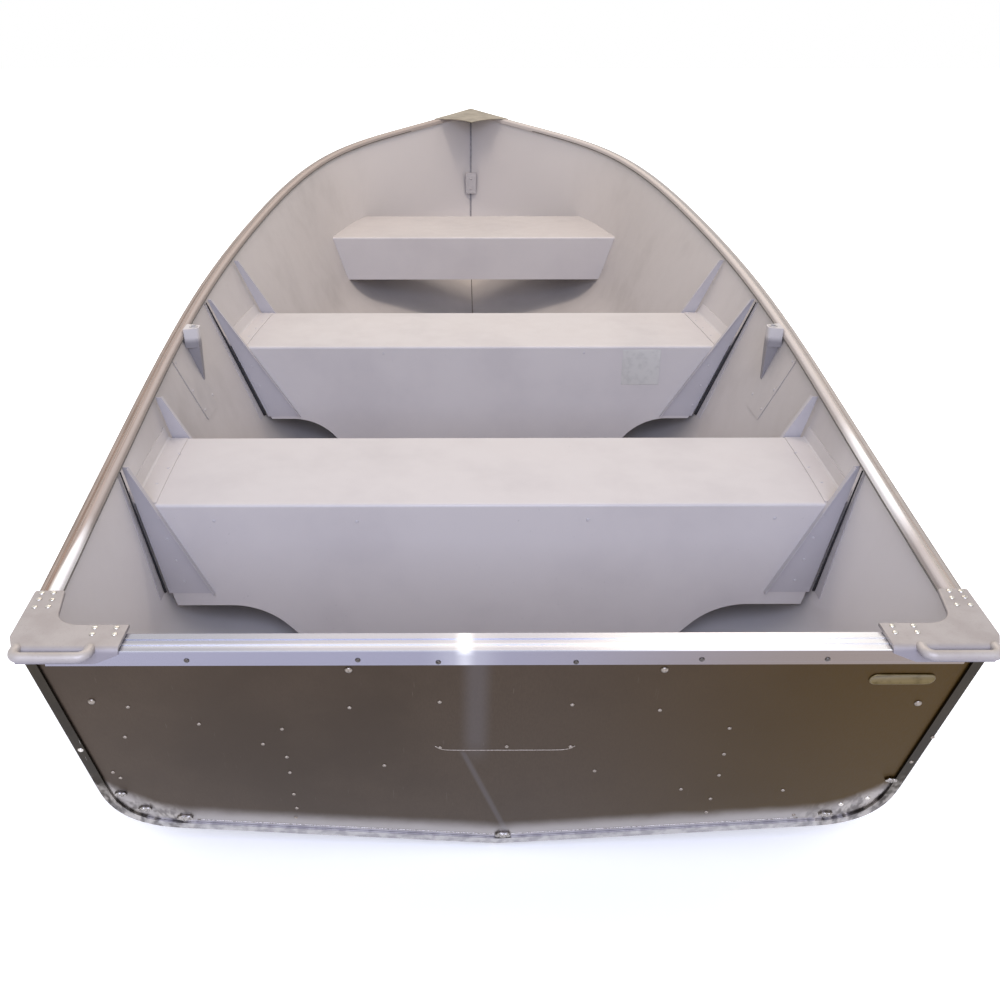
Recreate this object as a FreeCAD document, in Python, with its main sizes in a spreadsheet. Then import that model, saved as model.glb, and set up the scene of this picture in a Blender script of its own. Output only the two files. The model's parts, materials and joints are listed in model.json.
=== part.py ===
import FreeCAD, Part
import math
import os
import re

import Sketcher
from FreeCAD import Placement, Rotation, Vector

# Riveted aluminium rowing boat: two stretch-formed side sheets joined at the keel and the stem,
# a raked transom with a capped top, three bench seats with knees, and oarlock sockets.
# Row frame: X to starboard, Y towards the bow, Z up, origin on the floor under mid length.
# Hull frame: Y from the transom's foot and Z from the hull's bottom line, shifted to the row frame.

# Driving dimensions in millimetres and degrees: name, value, meaning.
SIZES = [
    ("HullLength", 3557, "transom foot to stem head, along the centreline"),
    ("HalfBeam", 719, "centreline to the side sheet at the widest place of the sheer"),
    ("BowHeight", 712, "bottom line to stem head"),
    ("TransomTop", 460, "height of the transom and of the sheer there"),
    ("TransomHalfWidth", 627, "centreline to the side sheet at the transom's top"),
    ("TransomRake", 14.4, "lean of the transom, degrees"),
    ("HullWall", 2, "side and bottom sheet"),
    ("SheetWall", 2, "seats, knees and other folded sheet"),
    ("SeatGap", 0.3, "clearance where one piece seats on another"),
    ("SeatFootGap", 0.9, "clearance under a seat's faces at the keel"),
    ("SeamHalf", 3, "centreline to the edge of each side sheet at the keel and the stem"),
    ("ChineRound", 95, "length of sheet taken by the chine's rounding, each side of its corner"),
    ("KeelDepth", 22, "keel below the bottom sheet"),
    ("KeelTopHalf", 30, "half width of the keel where it meets the bottom"),
    ("KeelFootHalf", 22, "half width of the keel's flat foot"),
    ("KeelStart", 130, "keel's aft end ahead of the transom's foot"),
    ("StrakeHalf", 13, "half width of a bottom strake at the sheet"),
    ("StrakeFootHalf", 6, "half width of a strake's foot"),
    ("StrakeDepth", 12, "strake below the bottom sheet"),
    ("StrakeInnerX", 190, "centreline to the inner strakes"),
    ("StrakeOuterX", 370, "centreline to the outer strakes"),
    ("StrakeStart", 150, "strakes' aft end ahead of the transom's foot"),
    ("StrakeEnd", 2150, "strakes' fore end ahead of the transom's foot"),
    ("StemHalf", 15, "half width of the stem band"),
    ("StemDepth", 16, "stem band ahead of the stem"),
    ("SkinWall", 2, "outer transom sheet"),
    ("CoreWall", 28, "transom core board"),
    ("LinerWall", 2, "inner transom sheet"),
    ("RimWidth", 14, "turned edge around the transom"),
    ("RimLift", 3, "turned edge proud of the transom sheet"),
    ("RimTop", 456, "height where the turned edge ends under the corners"),
    ("CapWall", 2.5, "transom cap extrusion"),
    ("CapSkirt", 29, "height of the cap's aft face"),
    ("CapInset", 27, "cap's ends inboard of the side sheets"),
    ("CapRib", 1.2, "height of the cap's ribs"),
    ("CapRibWidth", 3, "width of one rib on the cap"),
    ("GunwaleOut", 16, "gunwale outboard of the sheet"),
    ("GunwaleIn", 14, "gunwale inboard of the sheet's outer face"),
    ("GunwaleSkirt", 26, "outer leg below the sheer"),
    ("GunwaleLip", 13, "inner lip below the sheer"),
    ("GunwaleTop", 3, "gunwale above the sheer"),
    ("GunwaleWall", 2.5, "wall of the inner lip"),
    ("GunwaleBevel", 6, "bevels of the gunwale"),
    ("GunwaleBead", 15, "width of the gunwale's rounded inner bead"),
    ("GunwaleGroove", 2, "depth and half width of the groove along the gunwale"),
    ("CornerSpan", 129, "length of a corner casting inboard of the side sheet"),
    ("CornerOut", 20, "casting outboard of the side sheet, at the transom"),
    ("CornerForeOut", 13, "casting outboard of the side sheet, at the fore arm's end"),
    ("CornerArmWidth", 42, "width of the casting's fore arm at its end"),
    ("CornerRootWidth", 51, "width of the casting's fore arm at its root"),
    ("CornerAft", 8, "casting aft of the transom's top edge"),
    ("CornerBack", 48, "casting ahead of the transom's top edge"),
    ("CornerFore", 132, "fore arm's end ahead of the transom's top edge"),
    ("CornerSide", 36.5, "end of the casting's side skirt ahead of the transom's top edge"),
    ("CornerWall", 5, "casting plate"),
    ("CornerSkirt", 19, "height of the casting's skirts"),
    ("CornerSkirtWall", 4, "casting skirts"),
    ("CornerThroat", 38, "rounding between the casting's arms"),
    ("CornerTaper", 44, "length over which the aft skirt grows to its height"),
    ("CornerBend", 9, "bend from the casting's plate to its aft skirt"),
    ("CornerEdge", 2.5, "rounding of the casting's other edges"),
    ("CornerCutIn", 14, "inboard reach of the cut across the casting's outer corner"),
    ("CornerCutAhead", 30, "fore reach of the cut across the casting's outer corner"),
    ("HandleGap", 13, "finger gap of the corner handle"),
    ("HandleBar", 14, "thickness of the handle's round bar"),
    ("HandleStart", 36, "handle's inboard leg from the casting's inboard end"),
    ("HandleSpan", 95, "distance between the handle's legs"),
    ("HandleElbow", 12, "bend radius of the handle's elbows"),
    ("HandleLift", 2, "middle of the handle's bar above the plate's underside"),
    ("AftSeatPlace", 470, "aft seat's aft face ahead of the transom's foot"),
    ("AftSeatDepth", 308, "aft seat, fore and aft"),
    ("AftSeatHeight", 364, "aft seat's top above the bottom line"),
    ("MidSeatPlace", 1356, "middle seat's aft face ahead of the transom's foot"),
    ("MidSeatDepth", 303, "middle seat, fore and aft"),
    ("MidSeatHeight", 369, "middle seat's top above the bottom line"),
    ("BowSeatPlace", 2579, "bow seat's aft face ahead of the transom's foot"),
    ("BowSeatDepth", 378, "bow seat, fore and aft"),
    ("BowSeatHeight", 377, "bow seat's top above the bottom line"),
    ("BowSeatFace", 158, "height of the bow seat's faces"),
    ("SeatBend", 6, "outer bend radius of the seats"),
    ("SeatEndGap", 12, "gap between the long benches' faces and the sides"),
    ("LimberFoot", 305, "centreline to the foot of a seat's corner opening"),
    ("LimberShoulder", 440, "centreline to the shoulder of a seat's corner opening"),
    ("LimberRound", 146, "rounding of the opening's shoulder"),
    ("AftLimberTop", 143, "top of the aft seat's corner openings"),
    ("MidLimberTop", 164, "top of the middle seat's corner openings"),
    ("StripTop", 42, "seat-end strip on the seat"),
    ("StripUp", 26, "seat-end strip up the side"),
    ("StripWall", 1.6, "seat-end strip"),
    ("KneeFoot", 88, "width of a seat knee's foot"),
    ("KneeGap", 7, "gap between a seat knee and the side"),
    ("KneeTopWidth", 12, "width of a seat knee's head"),
    ("KneeLip", 11, "bent lip of a seat knee"),
    ("AftKneeFootHeight", 172, "foot of the aft seat's aft knees above the bottom line"),
    ("MidKneeFootHeight", 172, "foot of the middle seat's aft knees above the bottom line"),
    ("OarlockPlace", 1111, "oarlock sockets ahead of the transom's foot"),
    ("OarlockBore", 6.5, "radius of the oarlock bore"),
    ("OarlockBoreDepth", 60, "depth of the oarlock bore"),
    ("OarlockDepth", 46, "height of the socket block"),
    ("OarlockHalf", 22, "half length of the socket block"),
    ("OarlockReach", 34, "socket block inboard of the gunwale lip"),
    ("OarlockWall", 13.5, "middle of the bore from the socket block's inboard face"),
    ("OarlockFaceHalf", 12, "half length of the socket block's inboard face"),
    ("OarlockCheek", 9, "rounding of the socket block's inboard corners"),
    ("OarlockRound", 2, "rounding of the socket block's outboard corners"),
    ("OarlockRise", 5, "socket's top above the gunwale's top"),
    ("OarlockWebHalf", 15, "half length of the socket's web at its head"),
    ("OarlockWebFootHalf", 5, "half length of the socket's web at its foot"),
    ("OarlockWebDepth", 140, "height of the socket with its web"),
    ("DoublerPlace", 1069, "oarlock doublers ahead of the transom's foot"),
    ("DoublerHalf", 94, "half width of the oarlock doubler's head"),
    ("DoublerFootHalf", 42, "half width of the oarlock doubler's foot"),
    ("DoublerFoot", 300, "doubler's foot above the bottom line"),
    ("DoublerWall", 1.6, "oarlock doubler"),
    ("StayPlace", 290, "centreline to the transom knees"),
    ("StayHeight", 300, "height of the transom knees"),
    ("StayLength", 250, "length of the transom knees along the bottom"),
    ("StayWall", 4, "transom knee web"),
    ("StayFootTop", 37, "top of the transom knees' foot above the bottom line"),
    ("StayFlange", 34, "width of the transom knee's flanges"),
    ("PlateReach", 178, "bow plate's arms aft of the stem head"),
    ("PlateTongue", 240, "bow plate's middle tongue aft of the stem head"),
    ("PlateWaist", 186, "bow plate's scallops aft of the stem head"),
    ("PlateWall", 2.5, "bow plate"),
    ("RibHeight", 16, "floor ribs above the bottom sheet"),
    ("RibWidth", 30, "floor ribs, fore and aft"),
    ("RibReach", 430, "centreline to a floor rib's end"),
    ("EyeHeight", 418, "bow eye above the bottom line"),
    ("EyeRing", 15, "bow eye's centre radius"),
    ("EyeWire", 5, "bow eye's wire radius"),
    ("EyeBackWidth", 46, "backing bracket of the bow eye, width"),
    ("EyeBackHeight", 90, "backing bracket of the bow eye, height"),
    ("EyeBackWall", 10, "backing bracket of the bow eye"),
]

# Shares of the hull's length, half beam and bow height that shape its lines, from the transom to the
# stem: sheer, chine corner and keel. The sheer's heights are shares of its rise from the transom's
# top to the stem head.
SHEER_LENGTH_SHARES = [0.0, 0.110, 0.265, 0.4195, 0.574, 0.7006, 0.799, 0.875, 0.937, 1.0]
SHEER_BEAM_SHARES = [0.0, 0.949, 1.000, 1.010, 0.957, 0.882, 0.758, 0.538, 0.2545, 0.0]
SHEER_RISE_SHARES = [0.0, -0.0511, 0.0789, 0.2484, 0.4292, 0.5790, 0.7061, 0.8135, 0.9039, 1.0]
CHINE_LENGTH_SHARES = [0.0, 0.110, 0.265, 0.4195, 0.574, 0.692, 0.785, 0.850, 0.911, 0.975]
CHINE_BEAM_SHARES = [0.823, 0.862, 0.834, 0.738, 0.666, 0.634, 0.628, 0.575, 0.360, 0.0]
CHINE_HEIGHT_SHARES = [0.081, 0.084, 0.094, 0.111, 0.143, 0.185, 0.249, 0.298, 0.343, 0.382]
KEEL_LENGTH_SHARES = [0.0, 0.110, 0.265, 0.4195, 0.574, 0.678, 0.762, 0.821, 0.869, 0.911]
KEEL_HEIGHT_SHARES = [0.0, 0.0, 0.0, 0.0, 0.0, 0.006, 0.031, 0.056, 0.088, 0.129]
# The rounding grows towards the bow.
ROUND_GROWTH_SHARES = [1.0, 1.0, 1.0, 1.0, 1.05, 1.15, 1.25, 1.2, 0.9, 0.7]
# Floor ribs between the seats, as shares of the hull's length.
RIB_SHARES = [0.100, 0.275, 0.335, 0.520, 0.610]

# Places along the bow plate's arms, and along a floor rib from the centreline to its end.
PLATE_RIM_SHARES = [1.0, 0.66, 0.33]
RIB_OUT_SHARES = [0.0, 0.2, 0.5, 0.8, 1.0]
RIB_EDGE_SHARE = 0.25
# Corners of the gunwale's bead, as shares of half a turn from its outboard side.
BEAD_SHARES = [0.5, 0.64, 0.78, 0.9, 1.0]
# Places of the cap's ribs across its top, and of the seam bars' seats across their half width.
CAP_RIB_SHARES = [0.30, 0.62]
SEAM_SEAT_SHARES = [0.25, 0.5, 0.75, 1.0]

SHEET_LABEL = "Sizes"
CELL_NAMES = [name for name, value, meaning in SIZES]
LONG_DEGREE = 3
CROSS_DEGREE = 2
HALF = 0.5
SEW_TOLERANCE = 0.001
BISECTIONS = 30
CUT_THROUGH = "4 * %s"
OUTLINE_STEPS = 18
GUNWALE_STEPS = 30
KEEL_STEPS = 30
KEEL_END_SHARE = 0.985
KEEL_TAPER_SHARE = 0.6
STEM_STEPS = 24
STRAKE_STEPS = 8
STRIP_STEPS = 5
DOUBLER_STEPS = 4
STEM_START_SHARE = 0.04
STEM_END_SHARE = 0.965


def clamped_knots(count, degree):
    """Knots and multiplicities of a clamped uniform spline with this many poles."""
    spans = count - degree
    return list(range(spans + 1)), [degree + 1] + [1] * (spans - 1) + [degree + 1]


def rail_places(knots, degree, count):
    """Where along a clamped spline each of its poles has its say."""
    return [sum(knots[pole + 1:pole + 1 + degree]) / degree for pole in range(count)]


def make_sheet(doc):
    """The spreadsheet that holds every driving dimension under its own name."""
    sheet = doc.addObject("Spreadsheet::Sheet", SHEET_LABEL)
    for row, (name, value, meaning) in enumerate(SIZES, start=1):
        sheet.set("A%d" % row, name)
        sheet.set("B%d" % row, str(value))
        sheet.set("C%d" % row, meaning)
        sheet.setAlias("B%d" % row, name)
    doc.recompute()
    return sheet


def bound(text):
    """An expression on the sheet, from plain size names."""
    return re.sub(r"[A-Z][A-Za-z]+", lambda word: SHEET_LABEL + "." + word.group(0)
                  if word.group(0) in CELL_NAMES else word.group(0), text)


class Boat:
    """The document, its sizes, the hull's lines and the pieces made from them."""

    def __init__(self):
        self.doc = FreeCAD.newDocument("RowingBoat")
        self.sheet = make_sheet(self.doc)
        self.workings = self.doc.addObject("Spreadsheet::Sheet", "Workings")
        self.pieces = []
        rake = math.radians(self.size("TransomRake"))
        self.lean = math.tan(rake)
        self.top_edge = -self.size("TransomTop") * self.lean
        self.aft_reach = (self.size("TransomTop") * self.lean + self.size("CapWall")
                          + self.size("HandleGap") + self.size("HandleBar"))
        entry = self.entry_angle()
        self.nose = self.size("GunwaleOut") / math.sin(entry) + self.size("SeamHalf") / math.tan(entry)
        self.middle = HALF * (self.size("HullLength") + self.nose - self.aft_reach)
        self.origin = Vector(0, -self.middle, self.size("KeelDepth"))
        self.surface = self.hull_surface()
        self.offsets = {}
        self.inside = self.size("HullWall") + self.size("SeatGap")

    def size(self, name):
        return float(self.sheet.get(name))

    def value(self, text):
        """The number of an expression in size names."""
        self.workings.set("A1", "=" + bound(text))
        self.workings.recompute()
        return float(self.workings.get("A1"))

    def entry_angle(self):
        """Half angle of the sheer at the stem head, seen from above."""
        across = self.size("HalfBeam") * SHEER_BEAM_SHARES[-2]
        along = self.size("HullLength") * (SHEER_LENGTH_SHARES[-1] - SHEER_LENGTH_SHARES[-2])
        return math.atan2(across, along)

    # Hull lines

    def frame_rows(self):
        """Control points of each frame: keel, bottom, chine corner, side and sheer."""
        length = self.size("HullLength")
        beam = self.size("HalfBeam")
        height = self.size("BowHeight")
        seam = self.size("SeamHalf")
        top = self.size("TransomTop")
        rows = []
        for place in range(len(SHEER_LENGTH_SHARES)):
            keel = Vector(seam, KEEL_LENGTH_SHARES[place] * length, KEEL_HEIGHT_SHARES[place] * height)
            chine = Vector(max(CHINE_BEAM_SHARES[place] * beam, seam), CHINE_LENGTH_SHARES[place] * length,
                           CHINE_HEIGHT_SHARES[place] * height)
            sheer = Vector(max(SHEER_BEAM_SHARES[place] * beam, seam), SHEER_LENGTH_SHARES[place] * length,
                           top + SHEER_RISE_SHARES[place] * (height - top))
            if place == 0:
                chine = Vector(chine.x, -chine.z * self.lean, chine.z)
                sheer = Vector(self.size("TransomHalfWidth"), self.top_edge, top)
            round_length = 2 * self.size("ChineRound") * ROUND_GROWTH_SHARES[place]
            to_keel = (keel - chine).normalize() * round_length
            to_sheer = (sheer - chine).normalize() * round_length
            rows.append([point + self.origin for point in
                         (keel, chine + to_keel, chine, chine + to_sheer, sheer)])
        return rows

    def hull_surface(self):
        """Outer face of the starboard side sheet, from keel to sheer and transom to stem."""
        rows = self.frame_rows()
        poles = [[rows[place][rail] for place in range(len(rows))] for rail in range(len(rows[0]))]
        cross_knots, cross_mults = clamped_knots(len(poles), CROSS_DEGREE)
        long_knots, long_mults = clamped_knots(len(rows), LONG_DEGREE)
        surface = Part.BSplineSurface()
        surface.buildFromPolesMultsKnots(poles, cross_mults, long_mults, cross_knots, long_knots,
                                         False, False, CROSS_DEGREE, LONG_DEGREE)
        self.cross_end = cross_knots[-1]
        self.long_end = long_knots[-1]
        return surface

    def outward(self, cross, along):
        """Unit normal of the starboard side that points out of the boat."""
        normal = self.surface.normal(cross, along)
        point = self.surface.value(cross, along)
        middle = Vector(0, point.y, self.origin.z + self.size("BowHeight"))
        return normal if normal.dot(point - middle) > 0 else normal * -1

    def offset_point(self, cross, along, inward):
        """A point this far inboard of the starboard side's outer face."""
        if inward not in self.offsets:
            self.offsets[inward] = self.offset_surface(inward)
        return self.offsets[inward].value(cross, along)

    def side_at(self, station, height, inward):
        """The starboard side's surface, at this depth inboard, where a level line crosses a frame."""
        cross = crossing(lambda place: self.at_station(place, station, inward).z, height,
                         0.0, float(self.cross_end))
        return self.at_station(cross, station, inward)

    def at_station(self, cross, station, inward):
        """The point of one lengthwise line of the side that lies in a frame's plane."""
        along = crossing(lambda place: self.offset_point(cross, place, inward).y, station,
                         0.0, float(self.long_end))
        return self.offset_point(cross, along, inward)

    def bottom_at(self, station, out, inward):
        """Height of the bottom sheet, at this depth inboard, this far from the centreline."""
        cross = crossing(lambda place: self.at_station(place, station, inward).x, out,
                         0.0, float(self.cross_end))
        return self.at_station(cross, station, inward).z

    # Building blocks

    def feature(self, label, shape):
        """A sub-part whose shape follows the hull's lines."""
        obj = self.doc.addObject("Part::Feature", label)
        obj.Label = label
        obj.Shape = shape
        return obj

    def publish(self, label, obj):
        """Name a finished sub-part, which is also its file's name."""
        obj.Label = label
        self.pieces.append(obj)
        return obj

    def publish_pair(self, name, obj):
        """Name a starboard sub-part and its mirror image on the port side."""
        mirror = self.doc.addObject("Part::Mirroring", name + "_mirror")
        mirror.Source = obj
        mirror.Normal = Vector(1, 0, 0)
        self.doc.recompute()
        self.publish(name + "_starboard", obj)
        self.publish(name + "_port", mirror)

    def offset_surface(self, inward):
        """The side's surface at a depth inboard of its outer face, on the same net of frames."""
        surface = self.surface.copy()
        cross_places = rail_places(surface.UKnotSequence, CROSS_DEGREE, surface.NbUPoles)
        long_places = rail_places(surface.VKnotSequence, LONG_DEGREE, surface.NbVPoles)
        chine = 1 + surface.NbUPoles // 2
        for frame, along in enumerate(long_places, start=1):
            before, corner, after = [self.surface.getPole(rail, frame)
                                     for rail in range(chine - 1, chine + 2)]
            turn = (corner - before).getAngle(after - corner)
            for rail, cross in enumerate(cross_places, start=1):
                depth = inward / math.cos(HALF * turn) if rail == chine else inward
                pole = self.surface.getPole(rail, frame) - self.outward(cross, along) * depth
                surface.setPole(rail, frame, pole)
        return surface

    def thick_side(self, start, end):
        """The starboard side between two depths inboard of its outer face."""
        sides = [self.offset_surface(depth) for depth in (start, end)]
        faces = [side.toShape() for side in sides]
        edges = []
        for side in sides:
            first_u, last_u, first_v, last_v = side.bounds()
            edges.append([side.uIso(first_u).toShape(), side.uIso(last_u).toShape(),
                          side.vIso(first_v).toShape(), side.vIso(last_v).toShape()])
        for near, far in zip(*edges):
            faces.append(Part.makeRuledSurface(near, far))
        return closed_solid(faces)

    def outside_cutters(self, depth, floor):
        """Two bodies that fill the space outside a depth inboard of the side sheets, above a floor."""
        reach = self.size("HalfBeam") * HALF
        starboard = self.offset_surface(depth).toShape().extrude(Vector(reach, 0, -reach))
        if floor is not None:
            length = self.size("HullLength")
            above = Part.makeBox(length, 2 * length, length, Vector(0, -length, floor))
            starboard = starboard.common(above)
        tool = self.feature("outside_starboard", starboard)
        mirror = self.feature("outside_port", mirrored(starboard))
        return [tool, mirror]

    def trimmed(self, obj, depth=None, floor=None):
        """The piece cut to a depth inboard of the side sheets, above a floor if one is given."""
        shape = obj
        for tool in self.outside_cutters(self.inside if depth is None else depth, floor):
            cut = self.doc.addObject("Part::Cut", "Trim")
            cut.Base = shape
            cut.Tool = tool
            shape = cut
        self.doc.recompute()
        return shape

    def body(self, name, at=None, turn=None):
        body = self.doc.addObject("PartDesign::Body", name + "_body")
        place = self.origin + (at or Vector(0, 0, 0))
        body.Placement = Placement(place, turn or Rotation())
        return body

    def sketch(self, body, plane, corners):
        """A closed outline on one of the body's own planes. A corner is x, y and an optional radius,
        each an expression in size names."""
        sketch = body.newObject("Sketcher::SketchObject", "Outline")
        support = [item for item in body.Origin.OriginFeatures if item.Role == plane][0]
        sketch.AttachmentSupport = [(support, "")]
        sketch.MapMode = "FlatFace"
        points = [Vector(self.value(corner[0]), self.value(corner[1]), 0) for corner in corners]
        radii = [self.value(corner[2]) if len(corner) > 2 else 0 for corner in corners]
        count = len(points)
        legs = []
        for index in range(count):
            before = (points[index - 1] - points[index]).normalize()
            after = (points[(index + 1) % count] - points[index]).normalize()
            turn = before.getAngle(after)
            reach = radii[index] / math.tan(turn / 2) if radii[index] else 0
            legs.append((points[index] + before * reach, points[index] + after * reach))
        for index in range(count):
            following = (index + 1) % count
            sketch.addGeometry(Part.LineSegment(legs[index][1], legs[following][0]), False)
        for index in range(count):
            mark = sketch.addGeometry(Part.Point(points[index]), True)
            for kind, axis in (("DistanceX", 0), ("DistanceY", 1)):
                rule = Sketcher.Constraint(kind, -1, 1, mark, 1, points[index][axis])
                number = sketch.addConstraint(rule)
                sketch.setExpression("Constraints[%d]" % number, bound(corners[index][axis]))
            behind = (index - 1) % count
            if radii[index]:
                arc = sketch.addGeometry(corner_arc(points[index], legs[index], radii[index]), False)
                first = sketch.getPoint(arc, 1)
                starts = 1 if (first - legs[index][0]).Length < (first - legs[index][1]).Length else 2
                sketch.addConstraint(Sketcher.Constraint("Tangent", behind, 2, arc, starts))
                sketch.addConstraint(Sketcher.Constraint("Tangent", index, 1, arc, 3 - starts))
                sketch.addConstraint(Sketcher.Constraint("PointOnObject", mark, 1, behind))
                sketch.addConstraint(Sketcher.Constraint("PointOnObject", mark, 1, index))
                number = sketch.addConstraint(Sketcher.Constraint("Radius", arc, radii[index]))
                sketch.setExpression("Constraints[%d]" % number, bound(corners[index][2]))
            else:
                sketch.addConstraint(Sketcher.Constraint("Coincident", behind, 2, mark, 1))
                sketch.addConstraint(Sketcher.Constraint("Coincident", index, 1, mark, 1))
        return sketch

    def pad(self, body, plane, corners, length, side="One side", back=False):
        pad = body.newObject("PartDesign::Pad", "Pad")
        pad.Profile = self.sketch(body, plane, corners)
        pad.setExpression("Length", bound(length))
        pad.SideType = side
        pad.Reversed = back
        self.doc.recompute()
        return pad

    def pocket(self, body, plane, corners, length, side="Symmetric", back=False):
        before = body.Shape.Volume
        pocket = body.newObject("PartDesign::Pocket", "Pocket")
        pocket.Profile = self.sketch(body, plane, corners)
        pocket.setExpression("Length", bound(length))
        pocket.SideType = side
        pocket.Reversed = back
        self.doc.recompute()
        if body.Shape.Volume >= before:
            raise RuntimeError("a pocket in %s cuts nothing" % body.Label)
        return pocket


def round_edges(boat, body, radius, chosen):
    """Round those edges of a body that a test picks."""
    tip = body.Tip
    names = ["Edge%d" % number for number, edge in enumerate(tip.Shape.Edges, start=1) if chosen(edge)]
    fillet = body.newObject("PartDesign::Fillet", "Rounding")
    fillet.Base = (tip, names)
    fillet.setExpression("Radius", bound(radius))
    boat.doc.recompute()
    return fillet


def corner_arc(corner, leg, radius):
    """The arc that rounds a corner between the two points where it meets the legs."""
    chord = (leg[0] + leg[1]) * HALF
    inward = (chord - corner).normalize()
    reach = (leg[0] - corner).Length
    middle = corner + inward * (math.hypot(reach, radius) - radius)
    return Part.Arc(leg[0], middle, leg[1])


def mirrored(shape):
    """The same shape on the other side of the centreline."""
    return shape.mirror(Vector(0, 0, 0), Vector(1, 0, 0))


def flipped(points):
    return [Vector(-point.x, point.y, point.z) for point in points]


def curve(points):
    """A smooth line through points, with the same parameters on every rail."""
    spline = Part.BSplineCurve()
    spline.interpolate(points, Parameters=[float(index) for index in range(len(points))])
    return spline.toShape()


def rail_solid(sections):
    """A solid whose corners run along smooth rails. Each section is a closed ring of corners."""
    count = len(sections[0])
    rails = [curve([section[corner] for section in sections]) for corner in range(count)]
    faces = [Part.makeRuledSurface(rails[index], rails[(index + 1) % count]) for index in range(count)]
    for section in (sections[0], sections[-1]):
        faces.append(Part.Face(Part.makePolygon(section + [section[0]])))
    return closed_solid(faces)


def closed_solid(faces):
    """The solid that these faces close."""
    shell = Part.makeCompound(faces)
    shell.sewShape(SEW_TOLERANCE)
    solid = Part.makeSolid(shell.Shells[0] if shell.Shells else Part.Shell(shell.Faces))
    if solid.Volume < 0:
        solid.reverse()
    return solid


def build_hull(boat):
    """The two stretch-formed sheets that meet along the keel and the stem."""
    starboard = boat.thick_side(0, boat.size("HullWall"))
    boat.publish("hull_starboard", boat.feature("hull_starboard", starboard))
    boat.publish("hull_port", boat.feature("hull_port", mirrored(starboard)))


def follow_bottom(boat, center, half, foot_half, depth, start, end):
    """Sections of a bar under the bottom sheet, between two places along the hull."""
    sections = []
    gap = boat.size("SeatGap")
    for step in range(STRAKE_STEPS + 1):
        station = boat.origin.y + start + (end - start) * step / STRAKE_STEPS
        inner = boat.bottom_at(station, max(center - half, 0), -gap)
        outer = boat.bottom_at(station, center + half, -gap)
        middle = HALF * (inner + outer)
        sections.append([Vector(center - half, station, inner), Vector(center + half, station, outer),
                         Vector(center + foot_half, station, middle - depth),
                         Vector(center - foot_half, station, middle - depth)])
    return sections


def build_strakes(boat):
    """Four bars riveted along the bottom that stiffen it and keep it off the beach."""
    for label, place in (("inner", "StrakeInnerX"), ("outer", "StrakeOuterX")):
        sections = follow_bottom(boat, boat.size(place), boat.size("StrakeHalf"),
                                 boat.size("StrakeFootHalf"), boat.size("StrakeDepth"),
                                 boat.size("StrakeStart"), boat.size("StrakeEnd"))
        solid = rail_solid(sections)
        boat.publish("strake_starboard_" + label, boat.feature("strake", solid))
        boat.publish("strake_port_" + label, boat.feature("strake", mirrored(solid)))


def crossing(measure, goal, low, high):
    """Where a measure that grows from low to high reaches a goal."""
    for turn in range(BISECTIONS):
        middle = HALF * (low + high)
        if measure(middle) < goal:
            low = middle
        else:
            high = middle
    return HALF * (low + high)


def seam_section(boat, center, down, seats, foot_half, depth):
    """One flat section of a bar that covers the seam, with a tongue between the sheets."""
    tongue = boat.size("SeamHalf") * HALF
    shoulder = center + down * boat.size("SeatGap")
    crest = center - down * boat.size("HullWall")
    foot = center + down * depth
    ring = [Vector(tongue, crest.y, crest.z), Vector(tongue, shoulder.y, shoulder.z)]
    ring += seats + [Vector(foot_half, foot.y, foot.z)]
    return ring + flipped(ring[::-1])


def seam_seats(boat, center, way, half, place_of, low, high):
    """Points just outside the sheet, in a section's plane, at shares of a bar's half width."""
    seats = []
    for share in SEAM_SEAT_SHARES:
        def lined(place):
            return boat.offset_point(*place_of(place, half * share), -boat.size("SeatGap"))
        seat = lined(crossing(lambda at: (lined(at) - center).dot(way), 0, low, high))
        seats.append(seat - way * (seat - center).dot(way))
    return seats


def build_keel(boat):
    """The keel bar: flat-footed and straight aft, narrower where it rises to the forefoot."""
    start = boat.origin.y + boat.size("KeelStart")
    begin = crossing(lambda along: boat.surface.value(0, along).y, start, 0.0, boat.long_end)
    end = boat.long_end * KEEL_END_SHARE

    def place_of(along, out):
        cross = crossing(lambda at: boat.surface.value(at, along).x, out, 0.0, float(boat.cross_end))
        return cross, along

    sections = []
    for step in range(KEEL_STEPS + 1):
        along = begin + (end - begin) * step / KEEL_STEPS
        point = boat.surface.value(0, along)
        way = direction(boat.surface.uIso(0), along)
        down = Vector(0, way.z, -way.y)
        share = max(0.0, (step / KEEL_STEPS - KEEL_TAPER_SHARE) / (1 - KEEL_TAPER_SHARE))
        top_half = boat.size("KeelTopHalf") * (1 - share) + boat.size("StemHalf") * share
        foot_half = boat.size("KeelFootHalf") * (1 - share) + boat.size("StemHalf") * share * HALF
        depth = boat.size("KeelDepth") * (1 - share) + boat.size("StemDepth") * share
        center = Vector(0, point.y, point.z)
        seats = seam_seats(boat, center, way, top_half, place_of, 0.0, float(boat.long_end))
        sections.append(seam_section(boat, center, down, seats, foot_half, depth))
    boat.publish("keel", boat.feature("keel", rail_solid(sections)))


def direction(line, place):
    """Unit tangent of a curve."""
    return Vector(line.tangent(place)[0]).normalize()


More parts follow.
